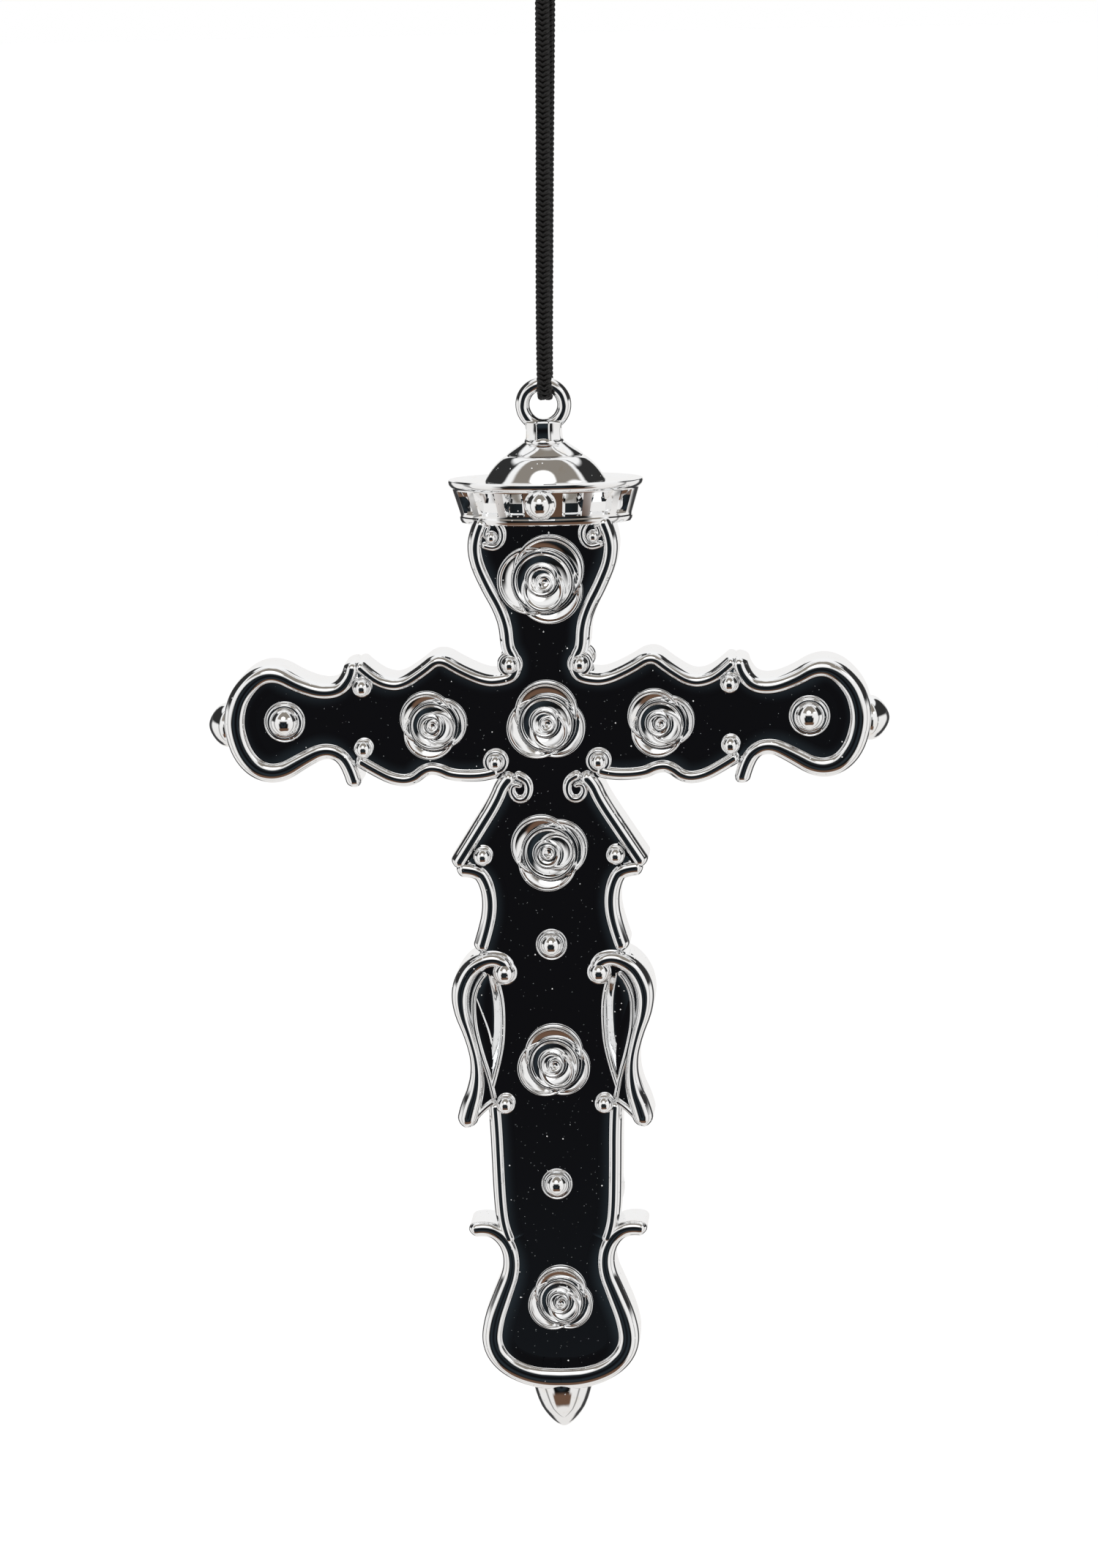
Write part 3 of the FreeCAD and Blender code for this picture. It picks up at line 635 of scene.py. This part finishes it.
# ---- crown
def crown_oval(z, out=0.0):
    part = (z - CROWN_Z0) / (CROWN_Z1 - CROWN_Z0)
    return (CROWN_FOOT[0] + part * (CROWN_BRIM[0] - CROWN_FOOT[0]) + out,
            CROWN_FOOT[1] + part * (CROWN_BRIM[1] - CROWN_FOOT[1]) + out)


WINDOWS = [(2.75, 5.6), (6.75, 9.7), (10.55, 12.0)]
WINDOW_LOW, WINDOW_HIGH, WINDOW_DEPTH = 39.45, 42.85, 0.65
WINDOW_SLOPE, WINDOW_TOP_SLOPE = 0.45, 1.6
WINDOW_PLUMB = 0.29         # makes a window's floor upright, though the band flares


def window_slope(low, high):
    return min(WINDOW_SLOPE, (high - low) / 2.4)


def crown():
    """The flared oval band: lip, sunk windows with sloping sides, rolled brim."""
    middle = crown_oval(CROWN_MIDDLE)[0]
    marks = []
    for low, high in WINDOWS:
        inset = window_slope(low, high)
        marks += [low, low + inset * 0.5, low + inset, high - inset, high - inset * 0.5, high]
    angles = {round(math.degrees(math.asin(min(1, m / middle))), 3) for m in marks}
    angles |= {float(d) for d in range(0, 91, 5)
               if all(abs(d - a) > 1.2 for a in angles)}
    angles = sorted(angles)
    full = angles + [180 - a for a in reversed(angles[:-1])]
    full = full + [360 - a for a in reversed(full[1:-1])]
    lip = [(38.15, -1.2), (38.1, 0.05), (38.2, 0.22), (38.55, 0.30), (38.9, 0.24), (39.1, 0.05)]
    upright = [(z, 0.0) for z in (
        39.25, WINDOW_LOW, WINDOW_LOW + WINDOW_SLOPE / 2, WINDOW_LOW + WINDOW_SLOPE, 40.5,
        WINDOW_HIGH - WINDOW_TOP_SLOPE, WINDOW_HIGH - WINDOW_TOP_SLOPE / 2, WINDOW_HIGH, 43.0)]
    brim = [(43.12, 0.05), (43.3, 0.22), (43.6, 0.30), (43.95, 0.26), (44.2, 0.12), (44.3, -0.08),
            (44.28, -0.45), (44.1, -1.1), (43.95, -2.2), (43.95, -4.0)]
    rings = []
    for z, out in lip + upright + brim:
        half_w, half_d = crown_oval(z, out)
        ring = []
        for degrees in full:
            a = math.radians(degrees)
            sx, cy = math.sin(a), math.cos(a)
            depth = 0.0
            across = abs(sx) * middle
            for low, high in WINDOWS:
                if low < across < high and WINDOW_LOW < z < WINDOW_HIGH:
                    side = min(across - low, high - across) / window_slope(low, high)
                    level = min((z - WINDOW_LOW) / WINDOW_SLOPE,
                                (WINDOW_HIGH - z) / WINDOW_TOP_SLOPE)
                    floor = WINDOW_DEPTH + WINDOW_PLUMB * (z - WINDOW_LOW)
                    depth = floor * min(1.0, side, level)
            nx, ny = sx / half_w, cy / half_d
            size = math.hypot(nx, ny)
            ring.append((CROWN_X + half_w * sx - depth * nx / size,
                         half_d * cy - depth * ny / size, z))
        rings.append(ring)
    return Solid().add(*rings_to_solid(rings))


def oval_rings(profile, depth_share):
    turns = 72
    rings = []
    for z, half in profile:
        rings.append([(CROWN_X + half * math.sin(2 * math.pi * k / turns),
                       half * depth_share * math.cos(2 * math.pi * k / turns), z)
                      for k in range(turns)])
    return rings_to_solid(rings)


def crown_dome():
    body = [(43.8, 8.6), (43.95, 8.66), (44.1, 8.62), (44.4, 8.46), (44.8, 8.22), (45.3, 7.9),
            (45.8, 7.54), (46.3, 7.13), (46.8, 6.64), (47.2, 6.18), (47.5, 5.75), (47.62, 5.4),
            (47.6, 4.8)]
    cap = [(47.3, 4.9), (47.5, 5.3), (47.62, 5.42), (47.75, 5.45), (47.9, 5.3), (48.2, 4.95),
           (48.6, 4.4), (49.0, 3.8), (49.4, 3.2), (49.7, 2.8), (49.8, 2.2)]
    return Solid().add(*oval_rings(body, 0.62)).add(*oval_rings(cap, 0.64))


def hanger():
    """The ring on its eight-sided neck, with a collar where the neck meets the dome."""
    solid = Solid().add(*torus((RING_X, 0.0, RING_Z), RING_R, WIRE_R, RING_DEEP, 64, 28))
    neck = []
    for z, half in ((50.0, 2.55), (50.45, 2.5), (51.2, 2.46), (51.9, 2.5), (52.4, 2.62),
                    (52.6, 2.4)):
        right = [(x * half, y * half) for x, y in NECK_CORNER]
        loop = ([(x, -y) for x, y in right] + [(x, y) for x, y in reversed(right)]
                + [(-x, y) for x, y in right] + [(-x, -y) for x, y in reversed(right)])
        neck.append([(RING_X + x, y, z) for x, y in loop])
    solid.add(*rings_to_solid(neck))
    collar = [(0, 49.2), (2.6, 49.2), (2.8, 49.35), (2.85, 49.55), (2.8, 49.8), (2.68, 50.05),
              (2.45, 50.28), (2.1, 50.42), (1.6, 50.48), (0, 50.5)]
    solid.add(*lathe(collar, (RING_X, 0, 0), "z", 48, (1.0, 0.94)))
    return solid


# ---- knobs, finial, spur
def arm_knob():
    profile = [(0, 44.0), (3.1, 44.0), (3.22, 46.1), (3.2, 46.5), (3.05, 46.95), (2.8, 47.35),
               (2.4, 47.8), (1.9, 48.2), (1.35, 48.55), (0.8, 48.8), (0.35, 48.92), (0, 48.95)]
    return Solid().add(*lathe(profile, (0, 0, 9.2), "x", 48))


def finial():
    profile = [(0, -87.0), (3.9, -87.0), (4.35, -88.3), (4.28, -89.1), (4.08, -90.0),
               (3.78, -91.0), (3.35, -92.1), (2.9, -92.9), (2.4, -93.6), (1.9, -94.2),
               (1.4, -94.7), (0.9, -95.1), (0.45, -95.35), (0, -95.43)]
    return Solid().add(*lathe(list(reversed(profile)), (0, 0, 0), "z", 56, (1.0, 0.98)))


def side_spur():
    """The leaf-shaped raised spur in the middle of the right-hand side wall."""
    top, length, steps = -55.9, 7.1, 12
    rings = []
    for k in range(steps + 1):
        t = k / steps
        z = top - length * t
        size = math.sin(math.pi * t) ** 0.8
        out, wide = 0.02 + 1.15 * size, 0.05 + 1.1 * size
        x = 8.6 - 0.035 * (t * length)
        rings.append([(x - 0.5, -wide, z), (x + 0.25 * out, -wide * 0.75, z), (x + out, -0.02, z),
                      (x + out, 0.02, z), (x + 0.25 * out, wide * 0.75, z), (x - 0.5, wide, z)])
    return Solid().add(*rings_to_solid(rings))


# ---- cord
def nurbs_points(route):
    """The points along the smooth NURBS line that has the route's points as its controls."""
    curve = bpy.data.curves.new("route", "CURVE")
    curve.dimensions = "3D"
    curve.resolution_u = 24
    spline = curve.splines.new("NURBS")
    spline.points.add(len(route) - 1)
    for point, (x, y, z) in zip(spline.points, route):
        point.co = (x * MM + DATUM.x, y * MM, z * MM + DATUM.z, 1.0)
    spline.order_u = 3
    spline.use_endpoint_u = True
    holder = bpy.data.objects.new("route", curve)
    bpy.context.scene.collection.objects.link(holder)
    bpy.context.view_layer.update()
    mesh = bpy.data.meshes.new_from_object(holder)
    points = [v.co.copy() for v in mesh.vertices]
    bpy.data.objects.remove(holder)
    bpy.data.curves.remove(curve)
    bpy.data.meshes.remove(mesh)
    return points


def braid(points, width, closed=False):
    """A flat four-strand braid that follows points in metres; its flat side is kept to +Y."""
    points = [p / MM for p in points]
    along = [0.0]
    for a, b in zip(points, points[1:]):
        along.append(along[-1] + (b - a).length)
    total = along[-1]
    steps = int(total / BRAID_STEP)
    pitch = total / round(total / PITCH) if closed else PITCH
    frames, lateral, i = [], Vector((1, 0, 0)), 0
    for k in range(steps + 1):
        s = total * k / steps
        while i < len(along) - 2 and along[i + 1] < s:
            i += 1
        t = (s - along[i]) / max(along[i + 1] - along[i], 1e-9)
        p = points[i].lerp(points[i + 1], t)
        tangent = (points[min(i + 2, len(points) - 1)] - points[max(i - 1, 0)]).normalized()
        lateral = (lateral - tangent * lateral.dot(tangent)).normalized()
        frames.append((p, tangent, lateral.copy(), tangent.cross(lateral), s))
    verts, faces = [], []
    sides = YARN_SIDES
    swing = width / 2 - YARN_R
    for y in range(YARNS):
        centres = []
        for p, tangent, side, normal, s in frames:
            a = 2 * math.pi * (s / pitch + y / YARNS)
            centres.append(p + side * swing * math.cos(a)
                           + normal * BRAID_THICK * math.sin(2 * a))
        base = len(verts)
        for k, (p, tangent, side, normal, s) in enumerate(frames):
            ahead = (centres[min(k + 1, steps)] - centres[max(k - 1, 0)]).normalized()
            u = (side - ahead * side.dot(ahead)).normalized()
            v = ahead.cross(u)
            for j in range(sides):
                b = 2 * math.pi * j / sides
                verts.append((centres[k] + u * (YARN_R * YARN_WIDE * math.cos(b))
                              + v * (YARN_R * YARN_HIGH * math.sin(b))) * MM)
        for k in range(steps):
            for j in range(sides):
                a0, b0 = base + k * sides + j, base + k * sides + (j + 1) % sides
                faces.append((a0, b0, b0 + sides, a0 + sides))
        faces.append(tuple(base + j for j in reversed(range(sides))))
        faces.append(tuple(base + steps * sides + j for j in range(sides)))
    return verts, faces


def fabric_object(name, parts):
    verts, faces = [], []
    for part_verts, part_faces in parts:
        base = len(verts)
        verts += part_verts
        faces += [tuple(base + i for i in f) for f in part_faces]
    mesh = bpy.data.meshes.new(name)
    mesh.from_pydata(verts, [], faces)
    bm = bmesh.new()
    bm.from_mesh(mesh)
    bmesh.ops.recalc_face_normals(bm, faces=bm.faces)
    for face in bm.faces:
        face.smooth = True
    bm.to_mesh(mesh)
    bm.free()
    obj = bpy.data.objects.new(name, mesh)
    bpy.context.scene.collection.objects.link(obj)
    return obj


ROUTE = [(KNOT_X - 0.35, -0.65, 115.2), (1.2, -1.05, 90.0), (0.72, -1.3, 70.5),
         (0.65, -1.75, 60.5), (0.65, -1.75, 55.9), (0.65, 1.75, 55.9), (0.65, 1.75, 60.5),
         (0.95, 1.3, 70.5), (1.5, 1.05, 90.0), (KNOT_X + 0.35, 0.65, 115.2)]


def knot_points():
    """An overhand knot's line, pulled tight."""
    points = []
    for k in range(241):
        t = 2 * math.pi * k / 240
        x = (math.sin(t) + 2 * math.sin(2 * t)) * 0.74
        z = (math.cos(t) - 2 * math.cos(2 * t)) * 0.74
        y = -math.sin(3 * t) * 1.15
        points.append(Vector(((KNOT_X + x) * MM + DATUM.x, y * MM, (KNOT_Z + z) * MM + DATUM.z)))
    return points


def loop_points():
    """The round loop above the knot."""
    points = []
    middle = KNOT_Z + 3.2 + LOOP_R - 1.0
    for k in range(121):
        t = -math.pi / 2 + 2 * math.pi * k / 120
        points.append(Vector(((KNOT_X + LOOP_R * math.cos(t)) * MM + DATUM.x, 0,
                              (middle + LOOP_R * math.sin(t)) * MM + DATUM.z)))
    return points


# ---- materials
class Nodes:
    """Short calls for building a node tree."""

    def __init__(self, tree):
        self.tree = tree
        tree.nodes.clear()

    def new(self, kind, inputs=None, **settings):
        node = self.tree.nodes.new(kind)
        for key, value in settings.items():
            setattr(node, key, value)
        for key, value in (inputs or {}).items():
            if isinstance(value, bpy.types.NodeSocket):
                self.tree.links.new(value, node.inputs[key])
            else:
                node.inputs[key].default_value = value
        return node

    def math(self, op, a, b=0.0):
        return self.new("ShaderNodeMath", {0: a, 1: b}, operation=op).outputs[0]

    def times(self, a, b):
        return self.math("MULTIPLY", a, b)

    def ramp(self, value, low, high, out_low=0.0, out_high=1.0):
        node = self.new("ShaderNodeMapRange", {"Value": value, "From Min": low, "From Max": high,
                                               "To Min": out_low, "To Max": out_high},
                        interpolation_type="SMOOTHSTEP", clamp=True)
        return node.outputs["Result"]

    def noise(self, where, scale, detail, roughness=0.5):
        return self.new("ShaderNodeTexNoise", {"Vector": where, "Scale": scale, "Detail": detail,
                                               "Roughness": roughness}).outputs["Fac"]

    def bump(self, height, strength, distance, under=None):
        inputs = {"Height": height, "Strength": strength, "Distance": distance}
        if under is not None:
            inputs["Normal"] = under
        return self.new("ShaderNodeBump", inputs).outputs[0]

    def mix(self, factor, a, b):
        node = self.new("ShaderNodeMix", {"Factor": factor}, data_type="RGBA")
        for socket, value in ((node.inputs[6], a), (node.inputs[7], b)):
            if isinstance(value, bpy.types.NodeSocket):
                self.tree.links.new(value, socket)
            else:
                socket.default_value = (*value, 1.0)
        return node.outputs[2]


def material(name):
    mat = bpy.data.materials.new(name)
    mat.use_nodes = True
    return mat, Nodes(mat.node_tree)


def chrome(name, dust, wave, tarnish):
    """Bright plated plastic: a mirror with faint waviness, dust specks and warm patches."""
    mat, n = material(name)
    where = n.new("ShaderNodeTexCoord").outputs["Object"]
    slow = n.noise(where, 180.0, 3.0)
    patch = n.noise(where, 420.0, 5.0, 0.65)
    fine = n.noise(where, 6000.0, 3.0)
    cells = n.new("ShaderNodeTexVoronoi", {"Vector": where, "Scale": 900.0})
    small_cells = n.new("ShaderNodeTexVoronoi", {"Vector": where, "Scale": 1500.0})
    cell_size = n.new("ShaderNodeSeparateColor", {"Color": cells.outputs["Color"]})
    small_size = n.new("ShaderNodeSeparateColor", {"Color": small_cells.outputs["Color"]})
    chosen = n.ramp(cell_size.outputs[0], 1.0 - 0.22 * dust, 1.0 - 0.10 * dust)
    small_chosen = n.ramp(small_size.outputs[1], 1.0 - 0.39 * dust, 1.0 - 0.16 * dust)
    speck = n.times(n.ramp(cells.outputs["Distance"], 0.11, 0.04), chosen)
    small_speck = n.times(n.ramp(small_cells.outputs["Distance"], 0.17, 0.08), small_chosen)
    specks = n.math("MAXIMUM", speck, n.times(small_speck, 0.8))
    warm = n.times(n.ramp(patch, 0.55, 0.8), tarnish)
    tint = n.mix(warm, (0.93, 0.935, 0.94), (0.86, 0.80, 0.72))
    colour = n.mix(specks, tint, (0.80, 0.80, 0.79))
    rough = n.math("ADD", n.ramp(patch, 0.3, 0.75, 0.015, 0.05), n.times(specks, 0.5))
    bump = n.bump(slow, 1.0, wave * MM)
    bump = n.bump(fine, 0.35, 0.0006 * MM, bump)
    bump = n.bump(specks, 0.8, 0.03 * MM, bump)
    shader = n.new("ShaderNodeBsdfPrincipled", {
        "Base Color": colour, "Roughness": rough, "Normal": bump,
        "Metallic": n.math("SUBTRACT", 1.0, n.times(specks, 0.85))})
    n.new("ShaderNodeOutputMaterial", {"Surface": shader.outputs[0]})
    return mat


def black_fibre(name):
    """Black satin yarn: fine filaments along the strands, a little dusty, soft sheen."""
    mat, n = material(name)
    where = n.new("ShaderNodeTexCoord").outputs["Object"]
    stretch = n.new("ShaderNodeMapping", {"Vector": where, "Scale": (9000.0, 9000.0, 1500.0)})
    strand = n.noise(stretch.outputs[0], 1.0, 4.0, 0.6)
    broad = n.noise(where, 700.0, 3.0)
    colour = n.mix(n.ramp(strand, 0.45, 0.8), (0.0022, 0.002, 0.002), (0.014, 0.013, 0.013))
    colour = n.mix(n.ramp(broad, 0.55, 0.85, 0.0, 0.5), colour, (0.02, 0.019, 0.018))
    rough = n.ramp(strand, 0.3, 0.8, 0.36, 0.62)
    shader = n.new("ShaderNodeBsdfPrincipled", {
        "Base Color": colour, "Roughness": rough, "Normal": n.bump(strand, 0.6, 0.05 * MM),
        "Sheen Weight": 0.03, "Sheen Roughness": 0.4})
    n.new("ShaderNodeOutputMaterial", {"Surface": shader.outputs[0]})
    return mat


def floor_paper(name):
    mat, n = material(name)
    where = n.new("ShaderNodeTexCoord").outputs["Object"]
    colour = n.mix(n.noise(where, 900.0, 2.0), (0.93, 0.93, 0.93), (0.95, 0.95, 0.95))
    shader = n.new("ShaderNodeBsdfPrincipled", {"Base Color": colour, "Roughness": 0.9,
                                                "Specular IOR Level": 0.0})
    n.new("ShaderNodeOutputMaterial", {"Surface": shader.outputs[0]})
    return mat


# ---- studio
def studio():
    """White cloth with broad dark and warm zones and two soft boxes, seen in reflections only."""
    world = bpy.data.worlds.new("studio")
    bpy.context.scene.world = world
    world.use_nodes = True
    n = Nodes(world.node_tree)
    ray = n.new("ShaderNodeLightPath")
    where = n.new("ShaderNodeSeparateXYZ", {0: n.new("ShaderNodeTexCoord").outputs["Generated"]})
    x, y, z = where.outputs
    to_front = n.math("MULTIPLY", y, -1.0)
    azimuth = n.math("DEGREES", n.math("ARCTAN2", x, to_front))
    level = n.math("DEGREES", n.math("ARCSINE", z))

    def between(value, low, high, soft):
        return n.times(n.ramp(value, low - soft, low + soft),
                       n.ramp(value, high + soft, high - soft))

    def patch(az, level_range, soft):
        return n.times(between(azimuth, *az, soft), between(level, *level_range, soft))

    def spot(az, lev, radius, soft, wide):
        da = n.math("DIVIDE", n.math("SUBTRACT", azimuth, az), wide)
        dl = n.math("SUBTRACT", level, lev)
        distance = n.math("SQRT", n.math("ADD", n.times(da, da), n.times(dl, dl)))
        return n.ramp(distance, radius + soft, radius - soft)

    # each zone in degrees of azimuth (0 in front) and level, laid over those before it
    side_lines = n.math("ADD", between(azimuth, 68, 76, 3.0), between(azimuth, -76, -68, 3.0))
    side_dark = n.math("ADD", patch((64, 150), (4, 52), 4.0), patch((-150, -66), (4, 52), 4.0))
    behind = n.math("ADD", patch((122, 158), (-55, 8), 6.0), patch((-158, -122), (-55, 8), 6.0))
    zones = [
        (n.times(side_lines, 0.7), (0.06, 0.06, 0.06)),
        (side_dark, (0.03, 0.03, 0.03)),
        (patch((-50, 54), (24, 80), 4.0), (0.26, 0.235, 0.205)),         # grey-brown, above
        (spot(-5, 33, 13, 2.0, 1.35), (1.5, 1.5, 1.5)),                  # soft box
        (spot(42, 28, 6, 2.0, 2.2), (1.2, 1.2, 1.2)),                    # soft box
        (patch((-29, 21), (-56, 10), 5.0), (0.006, 0.006, 0.006)),       # dark, in front
        (patch((-36, 30), (-56, -4), 5.0), (0.006, 0.006, 0.006)),
        (n.times(spot(-4, -14, 18, 10, 1.0), 0.85), (0.026, 0.036, 0.044)),    # blue tint
        (spot(-4, -10, 9, 7, 0.9), (0.005, 0.005, 0.006)),
        (patch((-46, 40), (-58, -38), 5.0), (0.15, 0.085, 0.055)),       # warm, below
        (behind, (0.05, 0.05, 0.052)),
        (ray.outputs["Is Diffuse Ray"], (1.1, 1.1, 1.1)),
        (ray.outputs["Is Camera Ray"], (1.0, 1.0, 1.0)),
    ]
    light = n.mix(n.ramp(level, -70, 70), (0.84, 0.82, 0.80), (0.97, 0.97, 0.97))
    for zone, colour in zones:
        light = n.mix(zone, light, colour)
    shader = n.new("ShaderNodeBackground", {"Color": light, "Strength": 1.0})
    n.new("ShaderNodeOutputWorld", {"Surface": shader.outputs[0]})

    bm = bmesh.new()
    bmesh.ops.create_grid(bm, x_segments=8, y_segments=8, size=9.0)
    mesh = bpy.data.meshes.new("floor")
    bm.to_mesh(mesh)
    bm.free()
    floor = bpy.data.objects.new("floor", mesh)
    bpy.context.scene.collection.objects.link(floor)
    floor.location = (0, 0, cad_box[0][2] - 0.25)
    floor.data.materials.append(floor_paper("floor_paper"))
    floor.visible_glossy = False
    floor.visible_diffuse = False

    lamp = bpy.data.lights.new("key", "AREA")
    lamp.shape, lamp.size, lamp.energy = "DISK", 0.6, 6.0
    key = bpy.data.objects.new("key", lamp)
    bpy.context.scene.collection.objects.link(key)
    key.location = (0.35, -0.7, DATUM.z + 0.9)
    towards = Vector((0, 0, DATUM.z)) - key.location
    key.rotation_euler = towards.to_track_quat("-Z", "Y").to_euler()
    key.visible_glossy = False
    key.visible_camera = False


def camera():
    """Looks a little down and from a little to the right, from almost 0.9 m."""
    turn = (Matrix.Rotation(math.radians(-1.31), 3, "Y")
            @ Matrix.Rotation(math.radians(9.93), 3, "X")
            @ Matrix.Rotation(math.radians(-4.0), 3, "Z"))
    away, view_width, sensor = 872.0, 1500.0 / 9.5, 36.0
    place = turn.transposed() @ Vector((-0.09, -away, 0.0))
    cam = bpy.data.cameras.new("camera")
    cam.sensor_fit = "HORIZONTAL"
    cam.sensor_width = sensor
    cam.lens = sensor * away / view_width
    cam.clip_start, cam.clip_end = 0.05, 60.0
    obj = bpy.data.objects.new("camera", cam)
    bpy.context.scene.collection.objects.link(obj)
    axes = Matrix((turn.row[0], turn.row[2], -Vector(turn.row[1]))).transposed()
    obj.matrix_world = Matrix.Translation(place * MM + DATUM) @ axes.to_4x4()
    bpy.context.scene.camera = obj


def finish_piece(obj, mat, body, node):
    obj.data.materials.append(mat)
    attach(obj, body)
    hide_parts(node)


camera()
studio()
view = bpy.context.scene.view_settings
view.view_transform = "Standard"
view.look = "None"

chromes = {"chrome_shell": chrome("chrome_shell", dust=1.0, wave=0.004, tarnish=0.3),
           "chrome_ornament": chrome("chrome_ornament", dust=0.5, wave=0.003, tarnish=0.4),
           "chrome_fitting": chrome("chrome_fitting", dust=0.4, wave=0.006, tarnish=0.8)}
cord_black = black_fibre("black_cord")


def cross_piece(solid, name, slot, node, back=False, sharp=SHARP):
    """Builds one piece of the cross, in its slot's own chrome."""
    finish_piece(solid.build(name, back, sharp), chromes[slot], "cross", node)


half = shell_half()
spur = side_spur()
roses = {rose_name: rose(rose_name, 11 + index) for index, rose_name in enumerate(ROSES)}
for side, back in (("front", False), ("back", True)):
    shell = Solid().merged(half)
    if not back:
        shell.merged(spur)
    cross_piece(shell, "shell_" + side, "chrome_shell", side + "_shell", back)
    for place, flower in roses.items():
        cross_piece(flower, "rose_%s_%s_v" % (place, side), "chrome_ornament",
                    "rose_%s_%s" % (place, side), back, SMOOTH_ALL)
    for place, x in BOSSES.items():
        cross_piece(boss(x, BOSS_Z, BOSS_BASE, BOSS_DOME), "boss_%s_%s" % (place, side),
                    "chrome_ornament", "arm_boss_%s_%s" % (place, side), back)
    for place, z in STUDS.items():
        cross_piece(boss(0.0, z, STUD_BASE, STUD_DOME), "stud_%s_%s" % (place, side),
                    "chrome_ornament", "shaft_stud_%s_%s" % (place, side), back)
    cross_piece(beads(), "beads_" + side, "chrome_ornament", "rail_beads_" + side, back)
    crown_ball = Solid().add(*ball(0.0, 6.15, 41.3, 2.3, 40))
    cross_piece(crown_ball, "crown_ball_" + side, "chrome_ornament", "crown_bead_" + side, back)

for solid, name, node, sharp in (
        (crown(), "crown_band_v", "crown_band", 28),
        (crown_dome(), "crown_dome_v", "crown_dome", SHARP),
        (hanger(), "hanger_ring_v", "hanger_ring", SHARP),
        (arm_knob(), "knob_right", "arm_knob_right", SHARP),
        (Solid().merged(arm_knob(), True), "knob_left", "arm_knob_left", SHARP),
        (finial(), "finial", "foot_finial", SHARP)):
    cross_piece(solid, name, "chrome_fitting", node, sharp=sharp)

route = nurbs_points(ROUTE)
cord_piece = fabric_object("cord_braid", [braid(route, CORD_WIDTH)])
finish_piece(cord_piece, cord_black, "cord", "cord")
knot_piece = fabric_object("cord_knot_braid", [braid(knot_points(), CORD_WIDTH, True),
                                               braid(loop_points(), CORD_WIDTH, True)])
finish_piece(knot_piece, cord_black, "suspension", "cord_knot")
